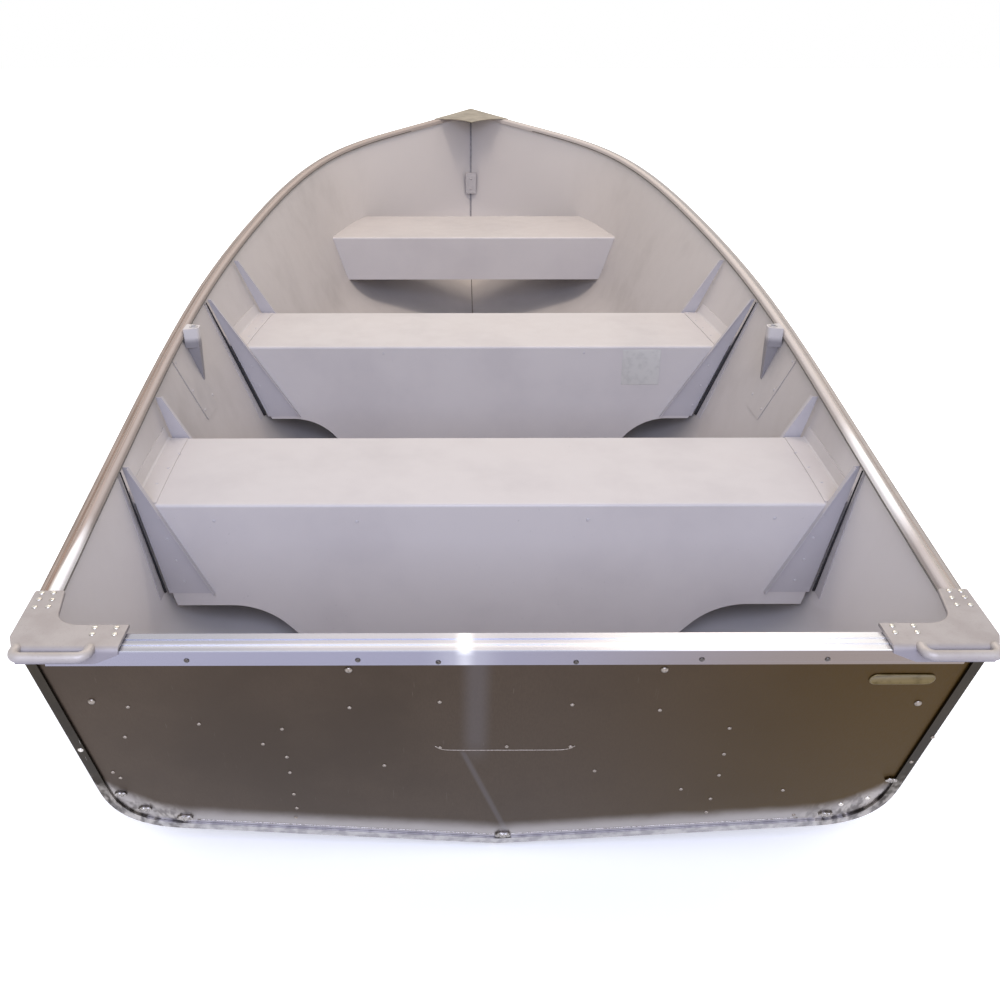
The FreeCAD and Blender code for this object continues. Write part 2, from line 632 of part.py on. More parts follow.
def build_stem(boat):
    """The stem band, which covers the seam from the forefoot to the stem head."""
    half = boat.size("StemHalf")
    stem = boat.surface.vIso(boat.long_end)

    def place_of(cross, out):
        back = crossing(lambda at: boat.surface.value(cross, boat.long_end - at).x, out,
                        0.0, float(boat.long_end) * HALF)
        return cross, boat.long_end - back

    sections = []
    for step in range(STEM_STEPS + 1):
        share = STEM_START_SHARE + (STEM_END_SHARE - STEM_START_SHARE) * step / STEM_STEPS
        cross = boat.cross_end * share
        point = boat.surface.value(cross, boat.long_end)
        way = direction(stem, cross)
        ahead = Vector(0, way.z, -way.y)
        center = Vector(0, point.y, point.z)
        seats = seam_seats(boat, center, way, half, place_of, 0.0, float(boat.cross_end))
        sections.append(seam_section(boat, center, ahead, seats, half * HALF, boat.size("StemDepth")))
    boat.publish("stem_band", boat.feature("stem_band", rail_solid(sections)))


def transom_outline(boat, inset, top, near):
    """Half outline of a transom plate in its own plane, from the keel corner up to a level top."""
    rake = math.radians(boat.size("TransomRake"))
    points = []
    for index in range(OUTLINE_STEPS + 1):
        cross = boat.cross_end * index / OUTLINE_STEPS
        point = boat.surface.value(cross, 0)
        tangent = direction(boat.surface.vIso(0), cross)
        normal = Vector(-tangent.z / math.cos(rake), 0, tangent.x).normalize()
        flat = point - boat.origin
        slant = flat.z / math.cos(rake)
        if index == 0:
            points.append(Vector(0, slant + inset / normal.z, -near))
            continue
        points.append(Vector(flat.x + normal.x * inset, slant + normal.z * inset, -near))
    kept = [point for point in points if point.y < top - boat.size("SheetWall")]
    last = points[len(kept)] if len(kept) < len(points) else points[-1]
    share = (top - kept[-1].y) / (last.y - kept[-1].y)
    kept.append(kept[-1] + (last - kept[-1]) * share)
    return kept


def transom_plate(boat, label, inset, near, thickness):
    """A plate of the transom, from a depth ahead of its aft face."""
    rake = math.radians(boat.size("TransomRake"))
    top = (boat.size("TransomTop") - boat.size("SeatGap")
           - (near + thickness) * math.sin(rake)) / math.cos(rake)
    half = transom_outline(boat, inset, top, near)
    lower = smooth(half)
    upper = Part.makeLine(half[-1], flipped([half[-1]])[0])
    port = mirrored(lower)
    face = Part.Face(Part.Wire([port, lower, upper]))
    solid = face.extrude(Vector(0, 0, -thickness))
    return boat.publish(label, transom_feature(boat, label, solid))


def smooth(points):
    spline = Part.BSplineCurve()
    spline.interpolate(points)
    return spline.toShape()


def transom_feature(boat, label, solid):
    """A feature drawn in the transom's plane, then leaned and moved into place."""
    obj = boat.feature(label, solid)
    lean = Rotation(Vector(1, 0, 0), 90 + boat.size("TransomRake"))
    obj.Placement = Placement(boat.origin, lean)
    return obj


def build_transom(boat):
    """Outer sheet, core board, inner sheet, turned edge and cap."""
    gap = boat.size("SeatGap")
    inset = boat.inside
    skin = boat.size("SkinWall")
    core = boat.size("CoreWall")
    transom_plate(boat, "transom_skin", inset, 0, skin)
    transom_plate(boat, "transom_core", inset, skin, core)
    transom_plate(boat, "transom_liner", inset, skin + core, boat.size("LinerWall"))
    rim_top = boat.size("RimTop")
    outer = transom_outline(boat, -gap, rim_top, -gap)
    inner = transom_outline(boat, boat.size("RimWidth"), rim_top, -gap)
    edges = [smooth(outer), Part.makeLine(outer[-1], inner[-1]), smooth(inner),
             mirrored(smooth(inner)), mirrored(Part.makeLine(outer[-1], inner[-1])),
             mirrored(smooth(outer))]
    ring = Part.Face(Part.Wire(Part.__sortEdges__(edges)))
    rim = ring.extrude(Vector(0, 0, boat.size("RimLift")))
    boat.publish("transom_rim", transom_feature(boat, "transom_rim", rim))
    build_cap(boat)


def build_cap(boat):
    """The extruded cap that wraps the transom's top, with two low ribs along it."""
    thick = "(SkinWall + CoreWall + LinerWall) / cos(TransomRake * 1 deg)"
    lean = "tan(TransomRake * 1 deg)"
    aft = "-(CapWall + SeatGap)"
    fore = "(%s + CapWall + SeatGap)" % thick
    body = boat.body("transom_cap", Vector(0, boat.top_edge, boat.size("TransomTop")))
    drop = "(CapSkirt - CapWall) * " + lean
    length = "2 * (TransomHalfWidth - CapInset)"
    outline = [
        (aft + " - CapWall * " + lean, "CapWall"),
        (fore + " - CapWall * " + lean, "CapWall"),
        (fore + " + " + drop, "CapWall - CapSkirt"),
        (fore + " - CapWall + " + drop, "CapWall - CapSkirt"),
        (fore + " - CapWall", "0"),
        (aft + " + CapWall", "0"),
        (aft + " + CapWall + " + drop, "CapWall - CapSkirt"),
        (aft + " + " + drop, "CapWall - CapSkirt"),
    ]
    boat.pad(body, "YZ_Plane", outline, length, "Symmetric")
    for place in CAP_RIB_SHARES:
        start = "%s + (%s - %s) * %s" % (aft, fore, aft, place)
        rib = [(start, "CapWall"), (start, "CapWall + CapRib"),
               (start + " + CapRibWidth", "CapWall + CapRib"), (start + " + CapRibWidth", "CapWall")]
        boat.pad(body, "YZ_Plane", rib, length, "Symmetric")
    boat.publish("transom_cap", body)


def gunwale_profile(boat):
    """Corners of the gunwale's section, outboard and up from the sheet's top edge."""
    gap = boat.size("SeatGap")
    wall = boat.size("GunwaleWall")
    out = boat.size("GunwaleOut")
    inner = -boat.size("GunwaleIn")
    skirt = -boat.size("GunwaleSkirt")
    lip = -boat.size("GunwaleLip")
    top = boat.size("GunwaleTop")
    bevel = boat.size("GunwaleBevel")
    bead = boat.size("GunwaleBead")
    groove = boat.size("GunwaleGroove")
    ceiling = gap + boat.size("HullWall") * HALF
    side = [(gap, skirt), (out - bevel, skirt), (out, skirt + bevel), (out, -bevel),
            (out - bevel * HALF, top - groove), (inner + bead + 3 * groove, top - groove),
            (inner + bead + 2 * groove, top - 2 * groove), (inner + bead + groove, top - groove),
            (inner + bead, top)]
    for share in BEAD_SHARES:
        turn = math.pi * share
        side.append((inner + bead * HALF * (1 + math.cos(turn)), top + bevel * (math.sin(turn) - 1)))
    return side + [(inner, lip), (inner + wall, lip), (inner + wall, top - bevel - wall * HALF),
                   (inner + bevel + wall * HALF, ceiling), (gap, ceiling)]


def build_gunwales(boat):
    """The bright rails that cap the side sheets and meet in a mitre at the stem head."""
    corners = gunwale_profile(boat)
    thick = boat.size("SkinWall") + boat.size("CoreWall") + boat.size("LinerWall")
    rake = math.radians(boat.size("TransomRake"))
    start = (boat.origin.y + boat.top_edge + thick / math.cos(rake)
             + boat.size("GunwaleLip") * boat.lean + boat.size("CapWall") + boat.size("SeatGap"))
    begin = crossing(lambda place: boat.surface.value(boat.cross_end, place).y, start,
                     0.0, boat.long_end)
    sections = []
    for step in range(GUNWALE_STEPS + 1):
        along = begin + (boat.long_end - begin) * step / GUNWALE_STEPS
        point = boat.surface.value(boat.cross_end, along)
        way = direction(boat.surface.uIso(boat.cross_end), along)
        climb = way.z / way.y
        way = Vector(way.x, way.y, 0).normalize()
        out = Vector(way.y, -way.x, 0)
        if step == GUNWALE_STEPS:
            point = Vector(0, point.y + point.x * out.x / out.y, point.z)
            out = Vector(0, 1 / out.y, 0)
        out.z = out.y * climb
        sections.append([point + out * across + Vector(0, 0, up) for across, up in corners])
    solid = rail_solid(sections)
    boat.publish("gunwale_starboard", boat.feature("gunwale", solid))
    boat.publish("gunwale_port", boat.feature("gunwale", mirrored(solid)))


def build_corners(boat):
    """Corner castings that tie the gunwale to the transom cap, each with a carrying handle."""
    place = Vector(0, boat.top_edge, boat.size("TransomTop") + boat.size("GunwaleTop")
                   + boat.size("CapRib") + boat.size("SeatGap"))
    body = boat.body("corner_casting", place)
    aft = "-CornerAft"
    inner = "(TransomHalfWidth - CornerSpan)"
    outer = "(TransomHalfWidth + CornerOut)"
    station = boat.origin.y + boat.top_edge + boat.size("CornerFore")
    fore_outer = "(%f + CornerForeOut)" % boat.at_station(boat.cross_end, station, 0).x
    side_outer = "(%s + (%s - %s) * (CornerSide + CornerAft) / (CornerFore + CornerAft))" % (
        outer, fore_outer, outer)
    cut = outer + " - CornerCutIn"
    ahead = "CornerCutAhead - CornerAft"
    outline = [(inner, aft), (cut, aft), (outer, ahead), (fore_outer, "CornerFore", "CornerSkirtWall"),
               (fore_outer + " - CornerArmWidth", "CornerFore", "CornerSkirtWall"),
               (outer + " - CornerRootWidth", "CornerBack", "CornerThroat"), (inner, "CornerBack")]
    boat.pad(body, "XY_Plane", outline, "CornerWall")
    skirt = [(inner, aft), (cut, aft), (outer, ahead), (side_outer, "CornerSide"),
             (side_outer + " - CornerSkirtWall", "CornerSide"),
             (outer + " - CornerSkirtWall", ahead),
             (cut + " - CornerSkirtWall / 2", "CornerSkirtWall - CornerAft"),
             (inner, "CornerSkirtWall - CornerAft")]
    boat.pad(body, "XY_Plane", skirt, "CornerSkirt", back=True)
    below = "-(CornerSkirt + CornerWall)"
    taper = [(inner + " - CornerWall", "-CornerWall"), (inner, "-CornerWall"),
             (inner + " + CornerTaper", below), (inner + " - CornerWall", below)]
    boat.pocket(body, "XZ_Plane", taper, CUT_THROUGH % "CornerSkirt")
    top = boat.size("CornerWall")
    back = -boat.size("CornerAft")
    margin = boat.size("SeatGap")

    def level(edge):
        return all(abs(vertex.Z - top) < margin for vertex in edge.Vertexes)

    def along_aft(edge):
        return level(edge) and all(abs(vertex.Y - back) < margin for vertex in edge.Vertexes)

    round_edges(boat, body, "CornerBend", along_aft)
    round_edges(boat, body, "CornerEdge", lambda edge: level(edge) and edge.Length > top
                and max(vertex.Y for vertex in edge.Vertexes) > boat.size("CornerFore") * HALF)
    casting = boat.doc.addObject("Part::Fuse", "Casting")
    casting.Base = body
    casting.Tool = build_handle(boat, place)
    boat.publish_pair("corner_casting", casting)


def build_handle(boat, place):
    """The round bar of a corner handle, with an elbow and a leg at each end."""
    radius = HALF * boat.size("HandleBar")
    elbow = boat.size("HandleElbow")
    near = boat.size("TransomHalfWidth") - boat.size("CornerSpan") + boat.size("HandleStart")
    far = near + boat.size("HandleSpan")
    back = -(boat.size("CapWall") + boat.size("HandleGap") + radius)
    root = -boat.size("CornerSkirtWall")
    bow = elbow * (1 - math.sqrt(HALF))

    def spot(x, y):
        return boat.origin + place + Vector(x, y, boat.size("HandleLift"))

    path = [Part.makeLine(spot(near, root), spot(near, back + elbow)),
            Part.Arc(spot(near, back + elbow), spot(near + bow, back + bow),
                     spot(near + elbow, back)).toShape(),
            Part.makeLine(spot(near + elbow, back), spot(far - elbow, back)),
            Part.Arc(spot(far - elbow, back), spot(far - bow, back + bow),
                     spot(far, back + elbow)).toShape(),
            Part.makeLine(spot(far, back + elbow), spot(far, root))]
    ring = Part.Wire([Part.makeCircle(radius, spot(near, root), Vector(0, -1, 0))])
    bar = Part.Wire(path).makePipeShell([ring], True, False)
    for out in (near, far):
        bar = bar.fuse(Part.makeSphere(radius, spot(out, root)))
    seat = Part.makeBox(2 * far, 2 * radius, 2 * radius, boat.origin + place + Vector(0, root, -2 * radius))
    return boat.feature("handle", bar.cut(seat).removeSplitter())


def seat_blank(boat, name):
    """Width of a seat's folded sheet before its ends are trimmed to the sides."""
    aft = boat.origin.y + boat.size(name + "SeatPlace")
    top = boat.origin.z + boat.size(name + "SeatHeight")
    places = [aft, aft + boat.size(name + "SeatDepth")]
    return 2 * max(boat.side_at(station, top, 0).x for station in places)


def build_seat(boat, name, label, limber):
    """A bench folded from one sheet, its faces down to the bottom and open at the chines."""
    place = Vector(0, boat.size(name + "SeatPlace"), boat.size(name + "SeatHeight"))
    body = boat.body(label, place)
    depth = name + "SeatDepth"
    foot = "-(%sSeatHeight - HullWall - SeatFootGap)" % name if limber else "-BowSeatFace"
    outline = [("0", foot), ("0", "0", "SeatBend"), (depth, "0", "SeatBend"), (depth, foot),
               (depth + " - SheetWall", foot), (depth + " - SheetWall", "-SheetWall",
                                                 "SeatBend - SheetWall"),
               ("SheetWall", "-SheetWall", "SeatBend - SheetWall"), ("SheetWall", foot)]
    boat.pad(body, "YZ_Plane", outline, "%f" % seat_blank(boat, name), "Symmetric")
    if limber:
        level = "%s - %sSeatHeight" % (limber, name)
        low = "-%sSeatHeight" % name
        for sign in ("", "-"):
            opening = [(sign + "LimberFoot", low), (sign + "LimberShoulder", level, "LimberRound"),
                       (sign + "HalfBeam", level), (sign + "HalfBeam", low)]
            boat.pocket(body, "XZ_Plane", opening, CUT_THROUGH % depth)
    seat = boat.trimmed(body)
    if limber:
        seat = boat.trimmed(seat, boat.inside + boat.size("SeatEndGap"),
                            boat.origin.z + boat.size(limber) - boat.size("SheetWall"))
    boat.publish(label, seat)


def build_strips(boat):
    """Angle strips that close the ends of the two long benches against the sides."""
    wall = boat.size("StripWall")
    for name, label in (("Aft", "thwart_aft"), ("Mid", "thwart_mid")):
        top = boat.origin.z + boat.size(name + "SeatHeight") + boat.size("SeatGap")
        start = boat.origin.y + boat.size(name + "SeatPlace") + boat.size("SeatBend")
        end = start + boat.size(name + "SeatDepth") - 2 * boat.size("SeatBend")
        sections = []
        for step in range(STRIP_STEPS + 1):
            station = start + (end - start) * step / STRIP_STEPS
            root = boat.side_at(station, top, boat.inside).x
            head = boat.side_at(station, top + boat.size("StripUp"), boat.inside).x
            low = top + wall
            sections.append([Vector(root - boat.size("StripTop"), station, top),
                             Vector(root, station, top),
                             Vector(head, station, top + boat.size("StripUp")),
                             Vector(head - wall, station, top + boat.size("StripUp")),
                             Vector(root - wall, station, low + 2 * wall),
                             Vector(root - 3 * wall, station, low),
                             Vector(root - boat.size("StripTop"), station, low)])
        solid = rail_solid(sections)
        boat.publish("end_strip_" + label + "_starboard", boat.feature("strip", solid))
        boat.publish("end_strip_" + label + "_port", boat.feature("strip", mirrored(solid)))


def build_seat_knees(boat):
    """Triangular plates from the seats' faces up to the gunwale, each with a bent inner lip."""
    wall = boat.size("SheetWall")
    lip = boat.size("KneeLip")
    for name, label in (("Aft", "thwart_aft"), ("Mid", "thwart_mid")):
        for face in ("aft", "fore"):
            station = boat.origin.y + boat.size(name + "SeatPlace")
            turn = -1
            foot = boat.origin.z + boat.size(name + "KneeFootHeight")
            if face == "fore":
                station += boat.size(name + "SeatDepth")
                turn = 1
                foot = boat.origin.z + boat.size(name + "SeatHeight") - boat.size("StripUp")
            sheer = boat.at_station(boat.cross_end, station, boat.size("HullWall"))
            head = sheer.z - boat.size("GunwaleLip") - boat.size("KneeGap") * HALF
            side = boat.size("HullWall") + boat.size("KneeGap")
            top_out = boat.side_at(station, head, side)
            foot_out = boat.side_at(station, foot, side)
            knee_foot = boat.size("KneeFoot") * (HALF if face == "fore" else 1)
            corners = [Vector(foot_out.x - knee_foot, station, foot),
                       Vector(foot_out.x, station, foot),
                       Vector(top_out.x, station, head),
                       Vector(top_out.x - boat.size("KneeTopWidth"), station, head)]
            plate = Part.Face(Part.makePolygon(corners + [corners[0]]))
            solid = plate.extrude(Vector(0, turn * wall, 0))
            edge = (corners[3] - corners[0]).normalize()
            across = Vector(edge.z, 0, -edge.x) * wall
            lip_face = Part.Face(Part.makePolygon([corners[0], corners[0] + across, corners[3] + across,
                                                   corners[3], corners[0]]))
            solid = solid.fuse(lip_face.extrude(Vector(0, turn * lip, 0))).removeSplitter()
            title = "knee_%s_%s_" % (label, face)
            boat.publish(title + "starboard", boat.feature("knee", solid))
            boat.publish(title + "port", boat.feature("knee", mirrored(solid)))


def build_oarlocks(boat):
    """Oarlock sockets inside the gunwale, each with a web that runs out on the side's doubler."""
    gap = boat.size("SeatGap")
    station = boat.origin.y + boat.size("OarlockPlace")
    sheer = boat.at_station(boat.cross_end, station, 0)
    top = sheer.z + boat.size("GunwaleTop") + boat.size("OarlockRise")
    ends = [boat.at_station(boat.cross_end, station + along, 0).x
            for along in (-boat.size("OarlockHalf"), boat.size("OarlockHalf"))]
    rail = min(ends) - boat.size("GunwaleIn") - gap
    body = boat.body("oarlock_socket")
    body.Placement = Placement(Vector(rail, station, top), Rotation())
    outline = [("0", "-OarlockHalf", "OarlockRound"), ("0", "OarlockHalf", "OarlockRound"),
               ("-OarlockReach", "OarlockFaceHalf", "OarlockCheek"),
               ("-OarlockReach", "-OarlockFaceHalf", "OarlockCheek")]
    boat.pad(body, "XY_Plane", outline, "OarlockDepth", back=True)
    web = [("-OarlockWebHalf", "-OarlockDepth / 2"), ("OarlockWebHalf", "-OarlockDepth / 2"),
           ("OarlockWebFootHalf", "-OarlockWebDepth"), ("-OarlockWebFootHalf", "-OarlockWebDepth")]
    boat.pad(body, "YZ_Plane", web, "OarlockReach - OarlockRound", back=True)
    bore = boat.doc.addObject("Part::Cylinder", "OarlockBoreTool")
    bore.setExpression("Radius", bound("OarlockBore"))
    bore.setExpression("Height", bound("2 * OarlockBoreDepth"))
    middle = rail - boat.size("OarlockReach") + boat.size("OarlockWall")
    bore.Placement = Placement(Vector(middle, station, top - boat.size("OarlockBoreDepth")), Rotation())
    socket = boat.doc.addObject("Part::Cut", "Socket")
    socket.Base = boat.trimmed(body, boat.inside + boat.size("DoublerWall") + gap)
    socket.Tool = bore
    boat.publish_pair("oarlock_socket", socket)
    build_doublers(boat)


def build_doublers(boat):
    """Tapered plates on the side sheets behind the oarlock sockets."""
    wall = boat.size("DoublerWall")
    station = boat.origin.y + boat.size("DoublerPlace")
    foot = boat.origin.z + boat.size("DoublerFoot")
    sections = []
    for step in range(DOUBLER_STEPS + 1):
        share = step / DOUBLER_STEPS
        half = boat.size("DoublerHalf") * (1 - share) + boat.size("DoublerFootHalf") * share
        heads = [boat.at_station(boat.cross_end, station + along, 0).z - boat.size("GunwaleLip")
                 - boat.size("SeatGap") for along in (-half, half)]
        ring = []
        for place in (0, HALF, 1):
            head = heads[0] * (1 - place) + heads[1] * place
            along = half * (2 * place - 1)
            ring.append(boat.side_at(station + along, head + (foot - head) * share, boat.inside))
        inner = [boat.side_at(point.y, point.z, boat.inside + wall) for point in ring[::-1]]
        sections.append(ring + inner)
    solid = rail_solid(sections)
    boat.publish("oarlock_doubler_starboard", boat.feature("doubler", solid))
    boat.publish("oarlock_doubler_port", boat.feature("doubler", mirrored(solid)))


def build_stays(boat):
    """Transom knees: a web with a flange up the transom and a foot along the bottom."""
    depth = boat.size("SkinWall") + boat.size("CoreWall") + boat.size("LinerWall") + boat.size("SeatGap")
    rake = math.radians(boat.size("TransomRake"))
    place = Vector(boat.size("StayPlace"), depth / math.cos(rake), 0)
    body = boat.body("transom_knee", place)
    top = "-StayHeight * tan(TransomRake * 1 deg)"
    web = [("0", "0"), ("StayLength", "0"), ("StayLength", "StayFlange", "StayFlange / 2"),
           (top + " + StayFlange", "StayHeight", "StayFlange / 2"), (top, "StayHeight")]
    boat.pad(body, "YZ_Plane", web, "StayWall", "Symmetric")
    flange = [("0", "0"), ("StayWall", "0"), (top + " + StayWall", "StayHeight"), (top, "StayHeight")]
    boat.pad(body, "YZ_Plane", flange, "StayFlange", "Symmetric")
    foot = [("0", "0"), ("StayLength", "0"), ("StayLength", "StayFootTop"),
            (top + " * StayFootTop / StayHeight", "StayFootTop")]
    boat.pad(body, "YZ_Plane", foot, "StayFlange", "Symmetric")
    boat.publish_pair("transom_knee", boat.trimmed(body))


def build_bow_plate(boat):
    """The breast plate over the stem head, with two scallops and a tongue between them."""
    gap = boat.size("SeatGap")
    wall = boat.size("PlateWall")
    head = boat.surface.value(boat.cross_end, boat.long_end)
    rim = []
    for share in PLATE_RIM_SHARES:
        station = head.y - boat.size("PlateReach") * share
        rim.append(boat.at_station(boat.cross_end, station, 0))
    slope = (head.z - rim[0].z) / (head.y - rim[0].y)
    swell = max(point.z - head.z - (point.y - head.y) * slope for point in rim)
    lift = boat.size("GunwaleTop") + gap + max(swell, 0)
    out = boat.size("GunwaleOut") * HALF

    def lifted(x, y):
        return Vector(x, y, head.z + lift + (y - head.y) * slope)

    outer = [lifted(point.x + out, point.y) for point in rim]
    outer.append(lifted(0, head.y + boat.nose * HALF))
    inner_start = lifted(rim[0].x - boat.size("GunwaleIn"), rim[0].y)
    waist = lifted(rim[0].x * HALF, head.y - boat.size("PlateWaist"))
    tongue = lifted(0, head.y - boat.size("PlateTongue"))
    edge = smooth(outer)
    start = Part.makeLine(inner_start, outer[0])
    scallop = Part.Arc(inner_start, waist, tongue).toShape()
    edges = [edge, start, scallop]
    wire = Part.Wire(Part.__sortEdges__(edges + [mirrored(item) for item in edges]))
    plate = Part.Face(wire).extrude(Vector(0, 0, wall))
    boat.publish("bow_plate", boat.feature("bow_plate", plate))


def build_ribs(boat):
    """Floor ribs across the bottom between the seats."""
    gap = boat.size("SeatGap")
    length = boat.size("HullLength")
    wide = boat.size("RibWidth")
    reach = boat.size("RibReach")
    rise = boat.size("RibHeight")
    for number, share in enumerate(RIB_SHARES, start=1):
        station = boat.origin.y + share * length
        seam = boat.size("SeamHalf")
        top = []
        for part in RIB_OUT_SHARES:
            out = reach * part
            lift = rise if part < 1 else rise * RIB_EDGE_SHARE
            top.append(Vector(out, station, boat.bottom_at(station, max(out, seam), boat.inside) + lift))
        floor = boat.bottom_at(station + wide, seam, boat.inside) + gap
        ring = top + [Vector(reach, station, floor)] + [Vector(-reach, station, floor)]
        ring += flipped(top[::-1][:-1])
        face = Part.Face(Part.makePolygon(ring + [ring[0]]))
        blank = face.extrude(Vector(0, wide, 0))
        rib = boat.trimmed(boat.feature("rib_blank", blank))
        boat.publish("floor_rib_%d" % number, rib)


def build_bow_eye(boat):
    """The bow eye through the stem and the bracket that backs it inside."""
    height = boat.origin.z + boat.size("EyeHeight")
    cross = crossing(lambda place: boat.surface.value(place, boat.long_end).z, height,
                     0.0, float(boat.cross_end))
    stem = boat.surface.value(cross, boat.long_end)
    way = direction(boat.surface.vIso(boat.long_end), cross)
    ahead = Vector(0, way.z, -way.y)
    lean = Rotation(Vector(1, 0, 0), math.degrees(math.atan2(-way.y, way.z)))
    seat = Vector(0, stem.y, stem.z) + ahead * (boat.size("StemDepth") + boat.size("SeatGap"))
    reach = boat.size("EyeRing") + boat.size("EyeWire")
    ring = boat.doc.addObject("Part::Torus", "EyeRingSolid")
    ring.setExpression("Radius1", bound("EyeRing"))
    ring.setExpression("Radius2", bound("EyeWire"))
    ring.Placement = Placement(seat + ahead * reach, lean * Rotation(Vector(0, 1, 0), 90))
    foot = boat.doc.addObject("Part::Box", "EyeFoot")
    foot.setExpression("Length", bound("4 * EyeWire"))
    foot.setExpression("Width", bound("EyeWire"))
    foot.setExpression("Height", bound("2 * EyeRing + 4 * EyeWire"))
    corner = seat - way * (reach + boat.size("EyeWire"))
    foot.Placement = Placement(corner - Vector(2 * boat.size("EyeWire"), 0, 0), lean)
    eye = boat.doc.addObject("Part::Fuse", "Eye")
    eye.Base = ring
    eye.Tool = foot
    boat.publish("bow_eye", eye)
    low = height - boat.size("EyeBackHeight") * HALF
    aft = crossing(lambda back: boat.side_at(stem.y - back, low, boat.inside).x,
                   boat.size("EyeBackWidth") * HALF, boat.size("EyeWire"), boat.size("EyeHeight") * HALF)
    back = boat.doc.addObject("Part::Box", "EyeBack")
    back.setExpression("Length", bound("EyeBackWidth"))
    back.setExpression("Width", bound("EyeBackWall"))
    back.setExpression("Height", bound("EyeBackHeight"))
    corner = Vector(-boat.size("EyeBackWidth") * HALF, stem.y - aft - boat.size("EyeBackWall"), low)
    back.Placement = Placement(corner, Rotation())
    boat.publish("bow_eye_backing", boat.trimmed(back))


def check_and_write(boat):
    """Stop on any failed object, then write one file per sub-part."""
    boat.doc.recompute()
    for obj in boat.doc.Objects:
        if "Invalid" in obj.State or "Error" in obj.State:
            raise RuntimeError("%s failed: %s" % (obj.Label, obj.State))
    os.makedirs("parts", exist_ok=True)
    box = FreeCAD.BoundBox()
    for obj in boat.pieces:
        if obj.Shape.isNull() or not obj.Shape.isValid():
            raise RuntimeError("%s has no valid shape" % obj.Label)
        solids = len(obj.Shape.Solids)
        if not solids:
            raise RuntimeError("%s has no solid" % obj.Label)
        obj.Shape.exportStep("parts/%s.step" % obj.Label)
        box.add(obj.Shape.optimalBoundingBox(False, False))
        print("%-34s solids %d volume %.0f" % (obj.Label, solids, obj.Shape.Volume))
    print("box", box)


def main():
    boat = Boat()
    build_hull(boat)
    build_keel(boat)
    build_strakes(boat)
    build_stem(boat)
    build_transom(boat)
    build_gunwales(boat)
    build_corners(boat)
    build_seat(boat, "Aft", "thwart_aft", "AftLimberTop")
    build_seat(boat, "Mid", "thwart_mid", "MidLimberTop")
    build_seat(boat, "Bow", "bow_seat", "")
    build_strips(boat)
    build_seat_knees(boat)
    build_oarlocks(boat)
    build_stays(boat)
    build_bow_plate(boat)
    build_ribs(boat)
    build_bow_eye(boat)
    check_and_write(boat)


main()
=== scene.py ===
import json
import logging
import math
from dataclasses import dataclass
from enum import Enum
from functools import reduce
from typing import Any, Sequence

import bpy
import numpy as np
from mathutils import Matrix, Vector
from mathutils.bvhtree import BVHTree

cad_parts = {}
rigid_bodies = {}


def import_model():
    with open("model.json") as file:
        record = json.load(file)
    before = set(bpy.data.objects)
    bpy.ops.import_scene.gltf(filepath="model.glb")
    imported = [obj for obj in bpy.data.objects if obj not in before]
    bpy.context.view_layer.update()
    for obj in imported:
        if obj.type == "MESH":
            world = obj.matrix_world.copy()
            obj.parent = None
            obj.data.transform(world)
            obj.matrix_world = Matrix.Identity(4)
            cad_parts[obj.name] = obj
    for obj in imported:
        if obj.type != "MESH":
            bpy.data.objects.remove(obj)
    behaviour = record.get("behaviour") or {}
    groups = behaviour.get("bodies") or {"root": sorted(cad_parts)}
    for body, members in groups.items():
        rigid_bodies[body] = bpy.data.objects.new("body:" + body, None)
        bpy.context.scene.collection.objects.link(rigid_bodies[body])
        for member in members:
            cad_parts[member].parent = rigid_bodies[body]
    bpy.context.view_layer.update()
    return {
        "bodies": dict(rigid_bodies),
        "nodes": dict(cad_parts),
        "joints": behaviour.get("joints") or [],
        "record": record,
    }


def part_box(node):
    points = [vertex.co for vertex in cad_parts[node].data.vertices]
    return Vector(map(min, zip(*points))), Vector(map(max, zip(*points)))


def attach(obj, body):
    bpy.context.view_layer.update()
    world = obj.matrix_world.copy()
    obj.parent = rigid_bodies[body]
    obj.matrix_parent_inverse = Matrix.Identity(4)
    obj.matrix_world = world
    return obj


# A riveted aluminium rowing boat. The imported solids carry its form. This scene dresses each of them
# with a finish and adds what is too small for them: rivets, screws, bushings, beads of sealant, thin
# flanges, creases, beaten lumps, a bare number plate and a bare notice plate.
# Frame: X to starboard, Y towards the bow, Z up, metres, origin on the floor under mid length.

LOG = logging.getLogger("rowing_boat")
MM = 0.001
BODY = "root"
FORWARD, AFT = np.array([0.0, 1.0, 0.0]), np.array([0.0, -1.0, 0.0])
OUTBOARD, UP = np.array([1.0, 0.0, 0.0]), np.array([0.0, 0.0, 1.0])
TO_PORT = np.array([-1.0, 1.0, 1.0])

# The transom's lean and foot, and its lower edge: the edge stands HULL_BASE over the floor, rises by
# DEADRISE per metre outboard, and past CHINE_START by CHINE_RISE times the square of the rest.
RAKE = math.radians(14.4)
TRANSOM_FOOT = -1.71918
HULL_BASE = 0.022
DEADRISE = 0.098
CHINE_START = 0.47
CHINE_RISE = 4.4

Socket = bpy.types.NodeSocket
Range = tuple[float, float]
Places = tuple[tuple[float, float], ...]
Mesh = tuple[np.ndarray, list[np.ndarray]]
Seats = tuple[np.ndarray, np.ndarray]


# Colour and nodes

def linear(code: str) -> tuple[float, float, float, float]:
    """Turn an sRGB hex colour into the linear values that shaders take.

    Args:
        code: Six hex digits.
    Returns:
        Red, green, blue and a full alpha.
    """
    parts = [int(code[place:place + 2], 16) / 255.0 for place in (0, 2, 4)]
    red, green, blue = [value / 12.92 if value <= 0.04045 else ((value + 0.055) / 1.055) ** 2.4
                        for value in parts]
    return red, green, blue, 1.0


